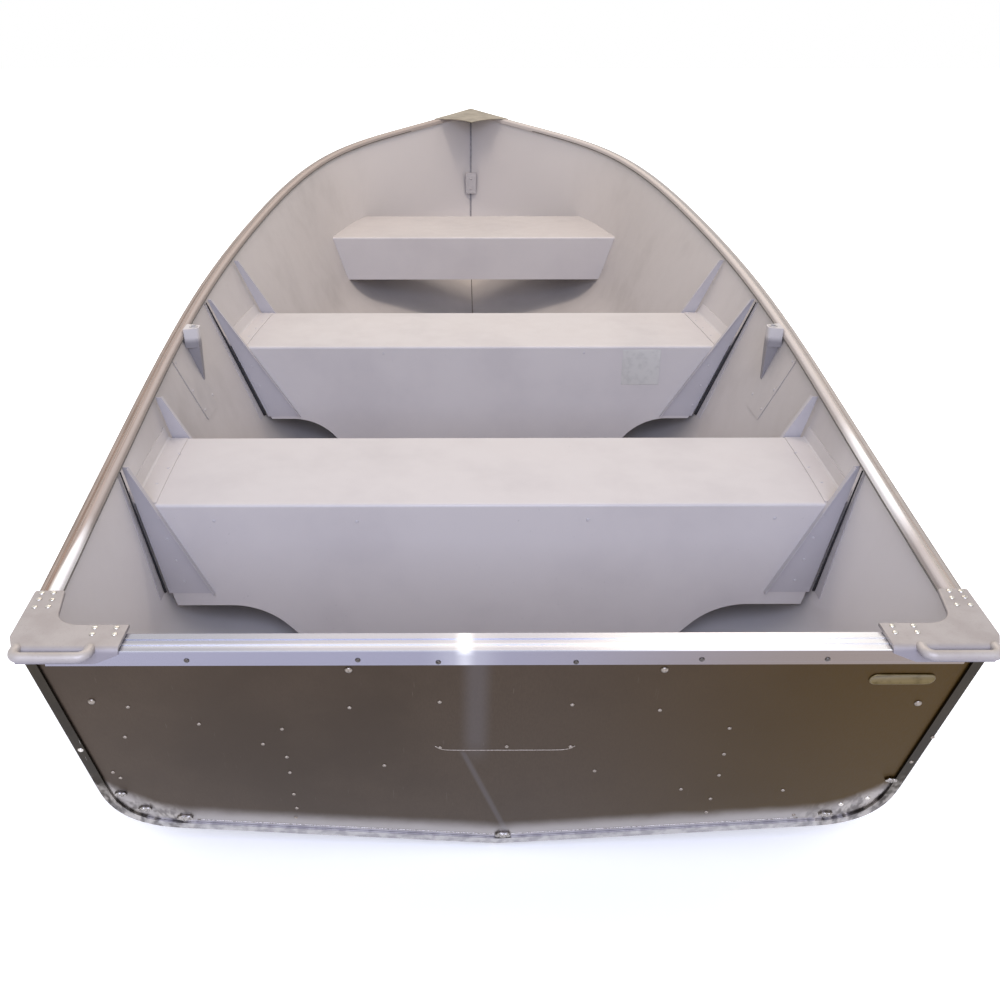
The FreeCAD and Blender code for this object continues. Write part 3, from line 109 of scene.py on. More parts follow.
def feed(tree: bpy.types.NodeTree, node: bpy.types.Node, inputs: dict[Any, Any]) -> None:
    """Give a node's inputs their values, or link the sockets that feed them."""
    for key, value in inputs.items():
        if isinstance(value, Socket):
            tree.links.new(value, node.inputs[key])
        else:
            node.inputs[key].default_value = value


def add_node(tree: bpy.types.NodeTree, kind: str, settings: dict[str, Any] | None = None,
             inputs: dict[Any, Any] | None = None) -> bpy.types.Node:
    """Add one node with its settings, its values and the links that feed it.

    Args:
        tree: The node tree of the material or world.
        kind: Blender's name of the node.
        settings: Properties of the node by name.
        inputs: Values or feeding sockets by input name or number.
    Returns:
        The new node.
    """
    node = tree.nodes.new(kind)
    for name, value in (settings or {}).items():
        setattr(node, name, value)
    feed(tree, node, inputs or {})
    return node


class Weave:
    """A node tree under construction, with short words for the steps that every finish repeats."""

    def __init__(self, name: str) -> None:
        """Start an empty material of this name, with a shader and an output."""
        self.material = bpy.data.materials.new(name)
        self.material.use_nodes = True
        self.tree = self.material.node_tree
        self.tree.nodes.clear()
        self.place = self.add("ShaderNodeTexCoord").outputs["Object"]
        self.shader = self.add("ShaderNodeBsdfPrincipled")
        self.add("ShaderNodeOutputMaterial", None, {"Surface": self.shader.outputs["BSDF"]})

    def add(self, kind: str, settings: dict[str, Any] | None = None,
            inputs: dict[Any, Any] | None = None) -> bpy.types.Node:
        """Add a node to this finish, as add_node does."""
        return add_node(self.tree, kind, settings, inputs)

    def noise(self, vector: Socket, detail: float, rough: float) -> Socket:
        """A noise whose cells are one unit of the vector wide, from 0 to 1."""
        inputs = {"Vector": vector, "Scale": 1.0, "Detail": detail, "Roughness": rough}
        return self.add("ShaderNodeTexNoise", None, inputs).outputs["Fac"]

    def grain(self, size_mm: float | Sequence[float], detail: float = 3.0, rough: float = 0.55) -> Socket:
        """A noise whose cells have a real size.

        Args:
            size_mm: Cell size along X, Y and Z, or one size for all.
            detail: Octaves of finer noise.
            rough: Strength of the finer octaves.
        Returns:
            The noise, from 0 to 1.
        """
        scale = [1.0 / (size * MM) for size in np.broadcast_to(size_mm, 3)]
        mapped = self.add("ShaderNodeMapping", None, {"Vector": self.place, "Scale": scale})
        return self.noise(mapped.outputs["Vector"], detail, rough)

    def span(self, value: Socket, low: float, high: float, start: float = 0.0, end: float = 1.0) -> Socket:
        """Carry a value from one range to another, smoothly and held at both ends."""
        inputs = {"Value": value, "From Min": low, "From Max": high, "To Min": start, "To Max": end}
        return self.add("ShaderNodeMapRange", {"interpolation_type": "SMOOTHSTEP"}, inputs).outputs["Result"]

    def patch(self, size_mm: float | Sequence[float], detail: float, low: float, high: float,
              start: float = 0.0, end: float = 1.0) -> Socket:
        """A grain of a real size, carried from the range low to high to the range start to end."""
        return self.span(self.grain(size_mm, detail), low, high, start, end)

    def blend(self, share: Any, first: Any, second: Any, mode: str = "MIX") -> Socket:
        """Blend two colours, given as sockets or hex codes, by a share from 0 to 1."""
        first, second = [linear(color) if isinstance(color, str) else color for color in (first, second)]
        return self.add("ShaderNodeMix", {"data_type": "RGBA", "blend_type": mode},
                        {0: share, 6: first, 7: second}).outputs[2]

    def choose(self, share: Any, first: Any, second: Any) -> Socket:
        """Blend two numbers by a share from 0 to 1."""
        return self.add("ShaderNodeMix", {"data_type": "FLOAT"}, {0: share, 2: first, 3: second}).outputs[0]

    def math(self, operation: str, *values: Any) -> Socket:
        """One sum, product or comparison of values or sockets."""
        return self.add("ShaderNodeMath", {"operation": operation}, dict(enumerate(values))).outputs[0]

    def product(self, *values: Any) -> Socket:
        """All values multiplied."""
        return reduce(lambda first, second: self.math("MULTIPLY", first, second), values)

    def total(self, *values: Any) -> Socket:
        """All values added."""
        return reduce(lambda first, second: self.math("ADD", first, second), values)

    def off(self, value: Socket, place: Any) -> Socket:
        """How far a value is from a place, either way."""
        return self.math("ABSOLUTE", self.math("SUBTRACT", value, place))

    def axis(self, source: Socket | None = None) -> tuple[Socket, Socket, Socket]:
        """The X, Y and Z of a vector, or of the place on the piece."""
        return tuple(self.add("ShaderNodeSeparateXYZ", None, {0: source or self.place}).outputs)

    def bump(self, height: Socket, depth_mm: float, under: Socket | None = None) -> Socket:
        """Raise the surface by a height of a real depth, over another relief if one is given."""
        inputs = {"Height": height, "Distance": depth_mm * MM, "Strength": 1.0}
        if under is not None:
            inputs["Normal"] = under
        return self.add("ShaderNodeBump", None, inputs).outputs["Normal"]

    def finish(self, color: Any, rough: Any, metal: Any = 0.0, relief: Socket | None = None,
               **sockets: Any) -> bpy.types.Material:
        """Feed the shader and hand over the material.

        Args:
            color: Base colour, a value or a socket.
            rough: Roughness, a value or a socket.
            metal: Metallic, a value or a socket.
            relief: A bent normal.
            sockets: Other inputs of the shader, with underscores for spaces.
        Returns:
            The finished material.
        """
        inputs = {"Base Color": color, "Roughness": rough, "Metallic": metal}
        if relief is not None:
            inputs["Normal"] = relief
        inputs.update({name.replace("_", " "): value for name, value in sockets.items()})
        feed(self.tree, self.shader, inputs)
        return self.material


# Finishes

@dataclass(frozen=True)
class Finish:
    """What every finish has: its name, its clean colour, a dirtier or duller shade, its roughness
    and how much of it is bare metal. A finish of its own kind says in looks() how they are laid."""
    name: str
    body: str
    shade: str
    rough: float = 0.4
    metal: float = 0.0

    def worn(self, weave: Weave, size_mm: float | Sequence[float], detail: float = 3.0,
             less: float = 0.05) -> Socket:
        """Roughness that wanders about the finish's own in patches of a real size."""
        return weave.patch(size_mm, detail, 0.3, 0.7, self.rough - less, self.rough + 0.08)

    def looks(self, weave: Weave) -> tuple[Any, ...]:
        """Colour, roughness, metal and relief: thin stock with nothing printed on it, faintly rubbed."""
        color = weave.blend(weave.patch(16.0, 4.0, 0.45, 0.75), self.body, self.shade)
        return color, self.rough, self.metal, weave.bump(weave.grain(5.0), 0.04)

    def material(self) -> bpy.types.Material:
        """The finish as a material."""
        weave = Weave(self.name)
        return weave.finish(*self.looks(weave))


@dataclass(frozen=True)
class SprayEnamel(Finish):
    """Light grey enamel sprayed on sheet aluminium: a low sheen with faint orange peel, so edges
    catch the light softly, and a little dust and rubbing where feet and gear pass."""
    rough: float = 0.42
    speck: str = "8f8b88"
    speck_mm: float = 7.0
    cloud_mm: float = 240.0
    gloss_mm: float = 60.0
    peel_mm: float = 2.2
    peel_depth_mm: float = 0.05
    wave_mm: float = 170.0
    wave_depth_mm: float = 0.5

    def color(self, weave: Weave) -> Socket:
        """Clouds of slightly dirtier paint and a few specks over the clean colour."""
        base = weave.blend(weave.patch(self.cloud_mm, 4.0, 0.42, 0.78), self.body, self.shade)
        return weave.blend(weave.patch(self.speck_mm, 2.0, 0.72, 0.80, 0.0, 0.35), base, self.speck)

    def relief(self, weave: Weave) -> Socket:
        """Slow waves of the hand-formed sheet under the orange peel of the paint."""
        waves = weave.bump(weave.grain(self.wave_mm, 1.0), self.wave_depth_mm)
        return weave.bump(weave.grain(self.peel_mm, 1.0), self.peel_depth_mm, waves)

    def looks(self, weave: Weave) -> tuple[Any, ...]:
        """Colour, roughness, metal and relief."""
        return self.color(weave), self.worn(weave, self.gloss_mm), self.metal, self.relief(weave)


@dataclass(frozen=True)
class MillSheet(Finish):
    """Bare rolled aluminium, mill finish: long faint rolling lines, a dull oxide and small scratches,
    so it mirrors only broad patches of light and dark."""
    rough: float = 0.36
    metal: float = 1.0
    glint: str = "b9b5b0"
    line_mm: tuple[float, float, float] = (3.0, 3.0, 260.0)
    line_depth_mm: float = 0.05
    blotch_mm: float = 130.0
    scratch_mm: tuple[float, float, float] = (1.6, 30.0, 60.0)
    wave_mm: float = 200.0
    wave_depth_mm: float = 0.6

    def color(self, weave: Weave) -> Socket:
        """Rolling lines, oxide blotches and scratches over the bare metal."""
        lines = weave.span(weave.grain(self.line_mm, 3.0, 0.6), 0.30, 0.72)
        metal = weave.blend(weave.patch(self.blotch_mm, 4.0, 0.35, 0.75), self.body, self.shade)
        lined = weave.blend(weave.product(lines, 0.45), metal, self.shade)
        return weave.blend(weave.patch(self.scratch_mm, 2.0, 0.74, 0.78, 0.0, 0.5), lined, self.glint)

    def relief(self, weave: Weave) -> Socket:
        """The rolling lines over slow waves of the sheet."""
        waves = weave.bump(weave.grain(self.wave_mm, 1.0), self.wave_depth_mm)
        return weave.bump(weave.grain(self.line_mm, 2.0), self.line_depth_mm, waves)

    def looks(self, weave: Weave) -> tuple[Any, ...]:
        """Colour, roughness, metal and relief."""
        rough = self.worn(weave, self.line_mm, 2.0, 0.06)
        return self.color(weave), rough, self.metal, self.relief(weave)


@dataclass(frozen=True)
class FoldedSheet(MillSheet):
    """Bare sheet near the transom's folded edge. Its patterns are laid out by the height above the
    boat's lower edge, and its corners are beaten into dents about 13 mm apart."""
    # painted shade and painted highlight on the creases of the beaten dents
    dent_painted_shade: str = "332c27"
    dent_painted_highlight: str = "a39d97"
    dent_mm: tuple[float, float, float] = (13.0, 30.0, 30.0)
    beaten_mm: float = 22.0
    corner_outboard: Range = (0.455, 0.50)
    corner_above: Range = (0.015, 0.065)

    def above(self, weave: Weave) -> tuple[Socket, Socket, Socket]:
        """Place across, place outboard, and height over the lower edge."""
        across, _, height = weave.axis()
        outboard = weave.math("ABSOLUTE", across)
        past = weave.math("MAXIMUM", weave.math("SUBTRACT", outboard, CHINE_START), 0.0)
        chine = weave.product(weave.math("POWER", past, 2.0), CHINE_RISE)
        edge = weave.total(weave.product(outboard, DEADRISE), chine, HULL_BASE)
        return across, outboard, weave.math("SUBTRACT", height, edge)

    def crumpled(self, weave: Weave, color: Any, outboard: Socket, above: Socket) -> tuple[Socket, Socket]:
        """The sheet beaten round the chine: dents as bumps, and in colour a painted highlight and painted
        shade on their creases.

        Args:
            weave: The finish under construction.
            color: The colour without dents.
            outboard: Distance from the middle.
            above: Height over the lower edge.
        Returns:
            The colour with dents and their height.
        """
        dents = weave.grain(self.dent_mm, 2.0)
        corner = weave.product(weave.span(outboard, *self.corner_outboard),
                               weave.span(above, *self.corner_above, 1.0, 0.0))
        dent_light_and_shade = weave.blend(weave.span(dents, 0.42, 0.60), self.dent_painted_shade, self.dent_painted_highlight)
        share = weave.product(corner, weave.patch(self.beaten_mm, 2.0, 0.38, 0.56, 0.10, 0.65))
        return weave.blend(share, color, dent_light_and_shade), weave.product(dents, corner)


@dataclass(frozen=True)
class TransomSheet(FoldedSheet):
    """The transom's bare sheet: brown-grey oxide, made darker as a painted dark reflection of its
    surroundings, that turns olive to starboard, a rubbed soft grey band along the turned lower edge, beaten
    corners, and two faint painted highlights, streaks where a lamp glares in the sheet."""
    wave_mm: float = 230.0
    wave_depth_mm: float = 0.9
    starboard: str = "3c2a00"
    olive_across: Range = (0.02, 0.60)
    band: str = "928d8b"
    band_above: Range = (0.030, 0.066)
    ragged_mm: float = 45.0
    ragged_depth: float = 0.010
    # painted highlight: two streaks where a lamp glares in the sheet
    glare_highlight: str = "8d8f99"
    high_glare_place: float = -0.037
    high_half: Range = (0.003, 0.026)
    high_from: Range = (0.22, 0.30)
    low_glare_place: float = -0.055
    low_lean: float = 0.327
    low_top: float = 0.262
    low_half: Range = (0.001, 0.007)
    low_until: Range = (0.255, 0.275)
    dent_depth_mm: float = 2.0

    def glare_highlights(self, weave: Weave, across: Socket, height: Socket) -> Socket:
        """Painted highlight: a soft broad streak high up, where a lamp glares in the sheet, and a narrow one
        that leans below it.
        """
        high = weave.product(weave.span(weave.off(across, self.high_glare_place), *self.high_half, 0.10, 0.0),
                             weave.span(height, *self.high_from))
        line = weave.total(weave.product(weave.math("SUBTRACT", self.low_top, height), self.low_lean),
                           self.low_glare_place)
        low = weave.product(weave.span(weave.off(across, line), *self.low_half, 0.11, 0.0),
                            weave.span(height, *self.low_until, 1.0, 0.0))
        return weave.math("MAXIMUM", high, low)

    def looks(self, weave: Weave) -> tuple[Any, ...]:
        """Colour, roughness, metal and relief."""
        across, outboard, above = self.above(weave)
        height = weave.axis()[2]
        olive = weave.blend(weave.patch(self.line_mm, 2.0, 0.3, 0.75, 0.0, 0.22), self.starboard, self.shade)
        turned_olive = weave.blend(weave.span(across, *self.olive_across), self.color(weave), olive)
        ragged = weave.total(above, weave.product(weave.grain(self.ragged_mm), self.ragged_depth))
        banded = weave.blend(weave.span(ragged, *self.band_above, 1.0, 0.0), turned_olive, self.band)
        highlighted = weave.blend(self.glare_highlights(weave, across, height), banded, self.glare_highlight)
        dented, dents = self.crumpled(weave, highlighted, outboard, above)
        rough = weave.span(ragged, 0.02, 0.07, 0.28, self.rough)
        return dented, rough, self.metal, weave.bump(dents, self.dent_depth_mm, self.relief(weave))


@dataclass(frozen=True)
class RimSheet(FoldedSheet):
    """The hull's ends turned over the transom's edge: dark oxide up the sides, beaten at the chines
    and rubbed grey along the bottom."""
    low: str = "8b888a"
    dark_from: Range = (0.085, 0.16)
    rubbed_mm: float = 14.0
    dent_depth_mm: float = 2.5

    def looks(self, weave: Weave) -> tuple[Any, ...]:
        """Colour, roughness, metal and relief."""
        _, outboard, above = self.above(weave)
        grey = weave.blend(weave.patch(self.rubbed_mm, 3.0, 0.35, 0.65, 0.0, 0.4), self.low, self.glint)
        color = weave.blend(weave.span(weave.axis()[2], *self.dark_from), grey, self.color(weave))
        dented, dents = self.crumpled(weave, color, outboard, above)
        return dented, self.rough, self.metal, weave.bump(dents, self.dent_depth_mm)


@dataclass(frozen=True)
class HullSheet(SprayEnamel):
    """The stretch-formed side sheets: sprayed enamel on the inside and bare mill finish on the
    outside. A face whose normal leans outboard and down is outside."""
    bare: str = "7f7871"
    bare_shade: str = "746d67"
    bare_glint: str = "b5b0aa"
    bare_rough: Range = (0.30, 0.42)
    bare_line_mm: tuple[float, float, float] = (220.0, 220.0, 3.0)
    # painted light: the hull paint lightens towards the bow and beside the transom, where the lamps leave the
    # sides dark
    fore_painted_light: str = "cfc9c5"
    fore_along: Range = (0.7, 1.5)
    aft_painted_light: str = "d0cbca"
    aft_along: Range = (-1.30, -1.00)

    def color(self, weave: Weave) -> Socket:
        """The sprayed paint, painted lighter towards the bow and beside the transom: painted light on the
        sides.
        """
        along = weave.axis()[1]
        fore_lightened = weave.blend(weave.span(along, *self.fore_along, 0.0, 0.9), super().color(weave), self.fore_painted_light)
        return weave.blend(weave.span(along, *self.aft_along, 0.9, 0.0), fore_lightened, self.aft_painted_light)

    def looks(self, weave: Weave) -> tuple[Any, ...]:
        """Colour, roughness, metal and relief."""
        outer = MillSheet(self.name, self.bare, self.bare_shade, glint=self.bare_glint,
                          line_mm=self.bare_line_mm)
        across, _, rise = weave.axis(weave.add("ShaderNodeNewGeometry").outputs["Normal"])
        side = weave.math("SIGN", weave.axis()[0])
        lean = weave.math("SUBTRACT", weave.product(side, across), rise)
        outside = weave.math("GREATER_THAN", lean, 0.0)
        color = weave.blend(outside, self.color(weave), outer.color(weave))
        rough = weave.choose(outside, self.worn(weave, self.gloss_mm),
                             weave.patch(self.gloss_mm, 3.0, 0.3, 0.7, *self.bare_rough))
        return color, rough, outside, self.relief(weave)


@dataclass(frozen=True)
class RailExtrusion(Finish):
    """The gunwale's drawn section: streaky brown-grey oxide on its outer half, painted lighter to starboard
    as a painted reflection, and a bead inboard of it rubbed to a lighter polish, with painted highlights
    where lamps reflect in it. The pattern is laid out by the distance in from the rail's outer edge, whose X
    at each Y is a curve through the section's stations."""
    lines_per_m: Range = (700.0, 3.0)
    edge: str = "5a4f45"
    edge_width: Range = (0.0015, 0.006)
    # painted reflection: the outer band is lighter to starboard
    outer_starboard_reflection: str = "b4adaa"
    # the polished bead, with painted highlights where lamps reflect in it
    bead_polish_and_highlight: str = "f6f3f0"
    bead_dull: str = "a79b93"
    bead_start: Range = (0.0150, 0.0200)
    port_highlight: Range = (-1.58, -1.45)
    starboard_highlight: Range = (-1.58, -1.40)
    starboard_highlight_fade: Range = (-1.25, -1.05)
    widening: Range = (-1.68, -1.48)
    widened: float = 0.006
    starboard_wider: float = 0.004
    dull_lip: Range = (0.017, 0.022)
    oxide_lip: Range = (0.018, 0.025)
    stations: Places = (
        (-1.8, 0.6470), (-1.5, 0.6777), (-1.2, 0.7039), (-0.9, 0.7233), (-0.6, 0.7349), (-0.3, 0.7363),
        (0.0, 0.7247), (0.3, 0.7021), (0.6, 0.6688), (0.9, 0.6150), (1.1, 0.5544), (1.3, 0.4544),
        (1.5, 0.3045), (1.65, 0.1780), (1.75, 0.0950), (1.87, 0.0))

    def inboard(self, weave: Weave, across: Socket, along: Socket) -> Socket:
        """Distance in from the rail's outer edge, in metres."""
        first, last = self.stations[0][0], self.stations[-1][0]
        share = weave.math("DIVIDE", weave.math("SUBTRACT", along, first), last - first)
        curve = weave.add("ShaderNodeFloatCurve", None, {"Value": share})
        points = curve.mapping.curves[0].points
        places = [((station - first) / (last - first), out) for station, out in self.stations]
        points[0].location, points[-1].location = places[0], places[-1]
        for place in places[1:-1]:
            points.new(*place)
        curve.mapping.update()
        return weave.math("SUBTRACT", curve.outputs[0], weave.math("ABSOLUTE", across))

    def bead_highlight(self, weave: Weave, side: Socket, along: Socket) -> Socket:
        """Painted highlight on the bead, where lamps reflect in it: beside the port casting, and to starboard
        along the aft bench.
        """
        port = weave.span(along, *self.port_highlight, 1.0, 0.0)
        starboard = weave.product(weave.span(along, *self.starboard_highlight, 0.15, 1.0),
                                  weave.span(along, *self.starboard_highlight_fade, 1.0, 0.25))
        return weave.choose(side, port, starboard)

    def looks(self, weave: Weave) -> tuple[Any, ...]:
        """Colour, roughness and metal: the lip inboard of the bead is dull and oxidised."""
        across, along, _ = weave.axis()
        inboard = self.inboard(weave, across, along)
        laid = weave.add("ShaderNodeCombineXYZ", None, {0: weave.product(inboard, self.lines_per_m[0]),
                                                        1: weave.product(along, self.lines_per_m[1])})
        lines = weave.noise(laid.outputs[0], 3.0, 0.6)
        side = weave.math("GREATER_THAN", across, 0.0)
        outer = weave.blend(weave.span(lines, 0.35, 0.68), self.body, self.shade)
        outer = weave.blend(weave.product(side, 0.75), outer, self.outer_starboard_reflection)
        outer = weave.blend(weave.span(inboard, *self.edge_width, 1.0, 0.0), outer, self.edge)
        bead_polish_and_highlight = weave.blend(self.bead_highlight(weave, side, along), self.bead_dull, self.bead_polish_and_highlight)
        narrowed = weave.math("SUBTRACT", inboard, weave.span(along, *self.widening, 0.0, self.widened))
        laid_bead = weave.total(narrowed, weave.product(side, self.starboard_wider))
        color = weave.blend(weave.span(laid_bead, *self.bead_start), outer, bead_polish_and_highlight)
        rough = weave.math("MAXIMUM", self.worn(weave, 30.0), weave.span(inboard, *self.dull_lip, 0.0, 0.62))
        return color, rough, weave.span(inboard, *self.oxide_lip, 1.0, 0.12)


@dataclass(frozen=True)
class CapExtrusion(Finish):
    """The transom cap's drawn section, with light painted on: a top painted lighter than the leg, from satin
    grey to near white towards starboard, with a painted highlight line along it; a leg painted blue-grey
    turning warm grey, as painted reflections; and one painted lamp reflection with a halo left of the middle."""
    line_mm: tuple[float, float, float] = (420.0, 1.6, 1.6)
    line_depth_mm: float = 0.03
    # painted highlight: the top lightens towards starboard and along one line
    top_highlight: str = "e4e2e0"
    top_across: Range = (0.03, 0.31)
    highlight_line: float = -1.830
    highlight_half: Range = (0.002, 0.006)
    # painted reflections: the leg's blue-grey and warm grey
    leg: str = "868491"
    leg_starboard: str = "7b7069"
    leg_across: Range = (-0.1, 0.45)
    # painted reflection of a lamp, left of the middle
    polished: str = "ffffff"
    lamp_reflection_place: float = -0.053
    lamp_reflection_half: float = 0.016
    lamp_reflection_halo: float = 0.06
    top_height: float = 0.4818
    top_edge: float = 0.0012
    leg_fade: float = 0.01

    def looks(self, weave: Weave) -> tuple[Any, ...]:
        """Colour, roughness, metal and relief."""
        across, along, height = weave.axis()
        top_range = (self.top_height, self.top_height + self.top_edge)
        lines = weave.grain(self.line_mm, 3.0, 0.7)
        top = weave.blend(weave.span(across, *self.top_across), self.body, self.top_highlight)
        highlight_share = weave.span(weave.off(along, self.highlight_line), *self.highlight_half, 0.28, 0.0)
        top = weave.blend(highlight_share, top, self.top_highlight)
        leg = weave.blend(weave.span(across, *self.leg_across), self.leg, self.leg_starboard)
        color = weave.blend(weave.span(height, *top_range), leg, top)
        color = weave.blend(weave.span(lines, 0.50, 0.75, 0.0, 0.22), color, self.shade)
        off = weave.off(across, self.lamp_reflection_place)
        core = weave.product(weave.span(off, 0.0, self.lamp_reflection_half, 0.5, 0.0),
                             weave.span(height, self.top_height - self.leg_fade, self.top_height, 0.35, 1.0))
        reflection_share = weave.total(core, weave.span(off, 0.0, self.lamp_reflection_halo, 0.12, 0.0))
        color = weave.blend(reflection_share, color, self.polished)
        metal = weave.span(height, *top_range, 1.0, 0.75)
        return color, self.rough, metal, weave.bump(lines, self.line_depth_mm)


@dataclass(frozen=True)
class SocketEnamel(SprayEnamel):
    """Enamel on the oarlock bracket: clean on the seat at the top, and darker on the web below it, as painted
    shade under the seat.
    """
    # painted shade on the web below the seat
    web_painted_shade: str = "858183"
    seat_edge: Range = (0.488, 0.504)

    def color(self, weave: Weave) -> Socket:
        """The clean enamel over the web, darkened as painted shade."""
        return weave.blend(weave.span(weave.axis()[2], *self.seat_edge), self.web_painted_shade, super().color(weave))


@dataclass(frozen=True)
class SatinCasting(Finish):
    """Sand-cast aluminium under a clear wash: a grainy satin skin with a warm grey tone, darker in its pits,
    and with painted shade on the parts below the rail's top, such as the hand grip."""
    rough: float = 0.5
    metal: float = 0.35
    pit: str = "8d857b"
    # painted shade on the parts below the rail's top
    under: str = "77727a"
    painted_shade_height: Range = (0.482, 0.496)

    def looks(self, weave: Weave) -> tuple[Any, ...]:
        """Colour, roughness, metal and relief."""
        color = weave.blend(weave.patch(45.0, 3.0, 0.35, 0.7), self.body, self.shade)
        color = weave.blend(weave.product(weave.patch(3.0, 4.0, 0.55, 0.75), 0.35), color, self.pit)
        # painted shade below the rail's top
        below = weave.span(weave.axis()[2], *self.painted_shade_height, 0.9, 0.0)
        relief = weave.bump(weave.grain(1.5, 2.0), 0.12, weave.bump(weave.grain(14.0, 1.0), 0.25))
        return weave.blend(below, color, self.under), self.rough, self.metal, relief


@dataclass(frozen=True)
class HeadMetal(Finish):
    """Driven rivet and screw heads: small bright domes with a dull rim."""
    rough: float = 0.3
    metal: float = 1.0

    def looks(self, weave: Weave) -> tuple[Any, ...]:
        """Colour, roughness, metal and relief."""
        color = weave.blend(weave.patch(2.5, 3.0, 0.4, 0.75), self.body, self.shade)
        return color, self.rough, self.metal, weave.bump(weave.grain(1.2, 1.0), 0.03)


@dataclass(frozen=True)
class FillerBoard(Finish):
    """Marine plywood edge: brown veneer layers 2.5 mm thick, sealed against damp."""
    rough: float = 0.55
    fibre: str = "5c4127"
    veneer_mm: float = 2.5

    def looks(self, weave: Weave) -> tuple[Any, ...]:
        """Colour, roughness, metal and relief. A wave node's band is a twentieth of its unit."""
        inputs = {"Vector": weave.place, "Scale": 1.0 / (self.veneer_mm * MM * 20.0), "Distortion": 1.2,
                  "Detail": 2.0}
        layers = weave.add("ShaderNodeTexWave", {"bands_direction": "Y"}, inputs)
        fibre = weave.grain((90.0, 3.0, 3.0), 4.0)
        color = weave.blend(layers.outputs["Fac"], self.body, self.shade)
        color = weave.blend(weave.span(fibre, 0.3, 0.8, 0.0, 0.4), color, self.fibre)
        return color, self.rough, self.metal, weave.bump(fibre, 0.15)


@dataclass(frozen=True)
class ShadowBead(Finish):
    """Polyurethane sealant run into a joint: dull, slightly uneven, darker than the paint."""
    shade: str = "6f6c70"
    rough: float = 0.6

    def looks(self, weave: Weave) -> tuple[Any, ...]:
        """Colour, roughness, metal and relief."""
        uneven = weave.product(weave.patch(9.0, 3.0, 0.3, 0.7), 0.4)
        color = weave.blend(uneven, self.body, self.shade, "MULTIPLY")
        return color, self.rough, self.metal, weave.bump(weave.grain(6.0), 0.3)


class Paint(Enum):
    """The finishes of this boat by the place that they are on."""
    HULL = HullSheet("sprayed_enamel_hull", "b6b0ad", "aaa4a1")
    INNER = SprayEnamel("sprayed_enamel_structure", "b6b0ad", "a39e9c")
    SEAT = SprayEnamel("sprayed_enamel_seats", "beb8b5", "b5afad", 0.38)
    # The knees' enamel is the seats' enamel painted darker: painted shade on the knee plates.
    KNEE = SprayEnamel("sprayed_enamel_knees", "ada8a9", "a39e9f", 0.38)
    # The transom's dark brown body is partly its oxide and partly a painted dark reflection.
    TRANSOM = TransomSheet("mill_finish_transom", "44392f", "3b3128", glint="6b635c",
                           line_mm=(2.2, 2.2, 320.0), blotch_mm=210.0)
    SHEET = MillSheet("mill_finish_extrusion", "8b857f", "6f6963", line_mm=(3.0, 260.0, 3.0))
    RIM = RimSheet("mill_finish_rim", "302a20", "241f18", 0.3, glint="c9c6c2", line_mm=(12.0, 12.0, 60.0))
    RAIL = RailExtrusion("bright_gunwale_extrusion", "8e7e75", "b3a198", 0.26)
    CAP = CapExtrusion("bright_transom_cap", "a3a3aa", "8b8b94", 0.24)
    CASTING = SatinCasting("cast_aluminium_corner", "afa79f", "a39a92")
    PLATE = SatinCasting("cast_aluminium_plate", "9b917f", "877d6c", 0.45)
    SOCKET = SocketEnamel("sprayed_enamel_socket", "c4bfbd", "b5b0ae")
    BACKING = SprayEnamel("sprayed_enamel_bracket", "b5b0ae", "a7a2a0")
    EYE = HeadMetal("stainless_steel_eye", "c9c8c6", "a5a4a2", 0.18)
    BOARD = FillerBoard("sealed_marine_plywood", "7a5a3a", "9b7a52")
    RIVET = HeadMetal("bright_rivet", "cfcac2", "9a948c", 0.24)
    SHEET_RIVET = HeadMetal("oxidised_rivet", "8b8279", "5f564e")
    # beaten sheet, bright partly as worn metal and partly as a painted highlight
    CRIMP = HeadMetal("beaten_edge", "a19c98", "59534e", 0.26)
    PAINTED_RIVET = HeadMetal("painted_rivet", "b9b4b4", "a3a0a2", 0.42, 0.0)
    DARK_BOLT = HeadMetal("zinc_bolt_head", "55504d", "2f2b29")
    SEALANT = ShadowBead("polyurethane_sealant", "8e8a8b")
    # black bead that stands for the shade of the gap behind each aft knee: painted shade
    JOINT_SEALANT = ShadowBead("knee_gap_painted_shade", "1c1a20")
    RAIL_SEALANT = ShadowBead("grey_rail_sealant", "625d58")
    NUMBER_PLATE = Finish("bare_tin_plate", "65593f", "4f442d", 0.32, 1.0)
    NOTICE = Finish("bare_vinyl_plate", "bcb9b3", "b0ada8", 0.45)
    BUSHING = Finish("moulded_nylon_bushing", "b9b4ae", "a39e98", 0.5)

    def build(self) -> bpy.types.Material:
        """The material of this finish, made once."""
        return bpy.data.materials.get(self.value.name) or self.value.material()


# Mesh work

def add_piece(name: str, mesh: Mesh, paint: Paint, smooth: bool = True) -> None:
    """Put a computed mesh into the scene as a piece that rides on the boat's only body.

    Args:
        name: The piece's name.
        mesh: Points as rows of X, Y, Z, and arrays of faces that share a corner count.
        paint: Its finish.
        smooth: Whether its faces are shaded as one curved surface.
    """
    points, groups = mesh
    faces = [face for group in groups for face in group.tolist()]
    data = bpy.data.meshes.new(name)
    data.from_pydata(points.tolist(), [], faces)
    data.polygons.foreach_set("use_smooth", np.full(len(data.polygons), smooth))
    data.update()
    piece = bpy.data.objects.new(name, data)
    bpy.context.scene.collection.objects.link(piece)
    data.materials.append(paint.build())
    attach(piece, BODY)
    LOG.info("%s: %d faces", name, len(faces))


def circle(sides: int, start: float = 0.0) -> np.ndarray:
    """Rows of the cosine and sine of angles all round, counter-clockwise from a start."""
    angle = np.linspace(0.0, 2.0 * math.pi, sides, endpoint=False) + start
    return np.stack([np.cos(angle), np.sin(angle)], axis=-1)


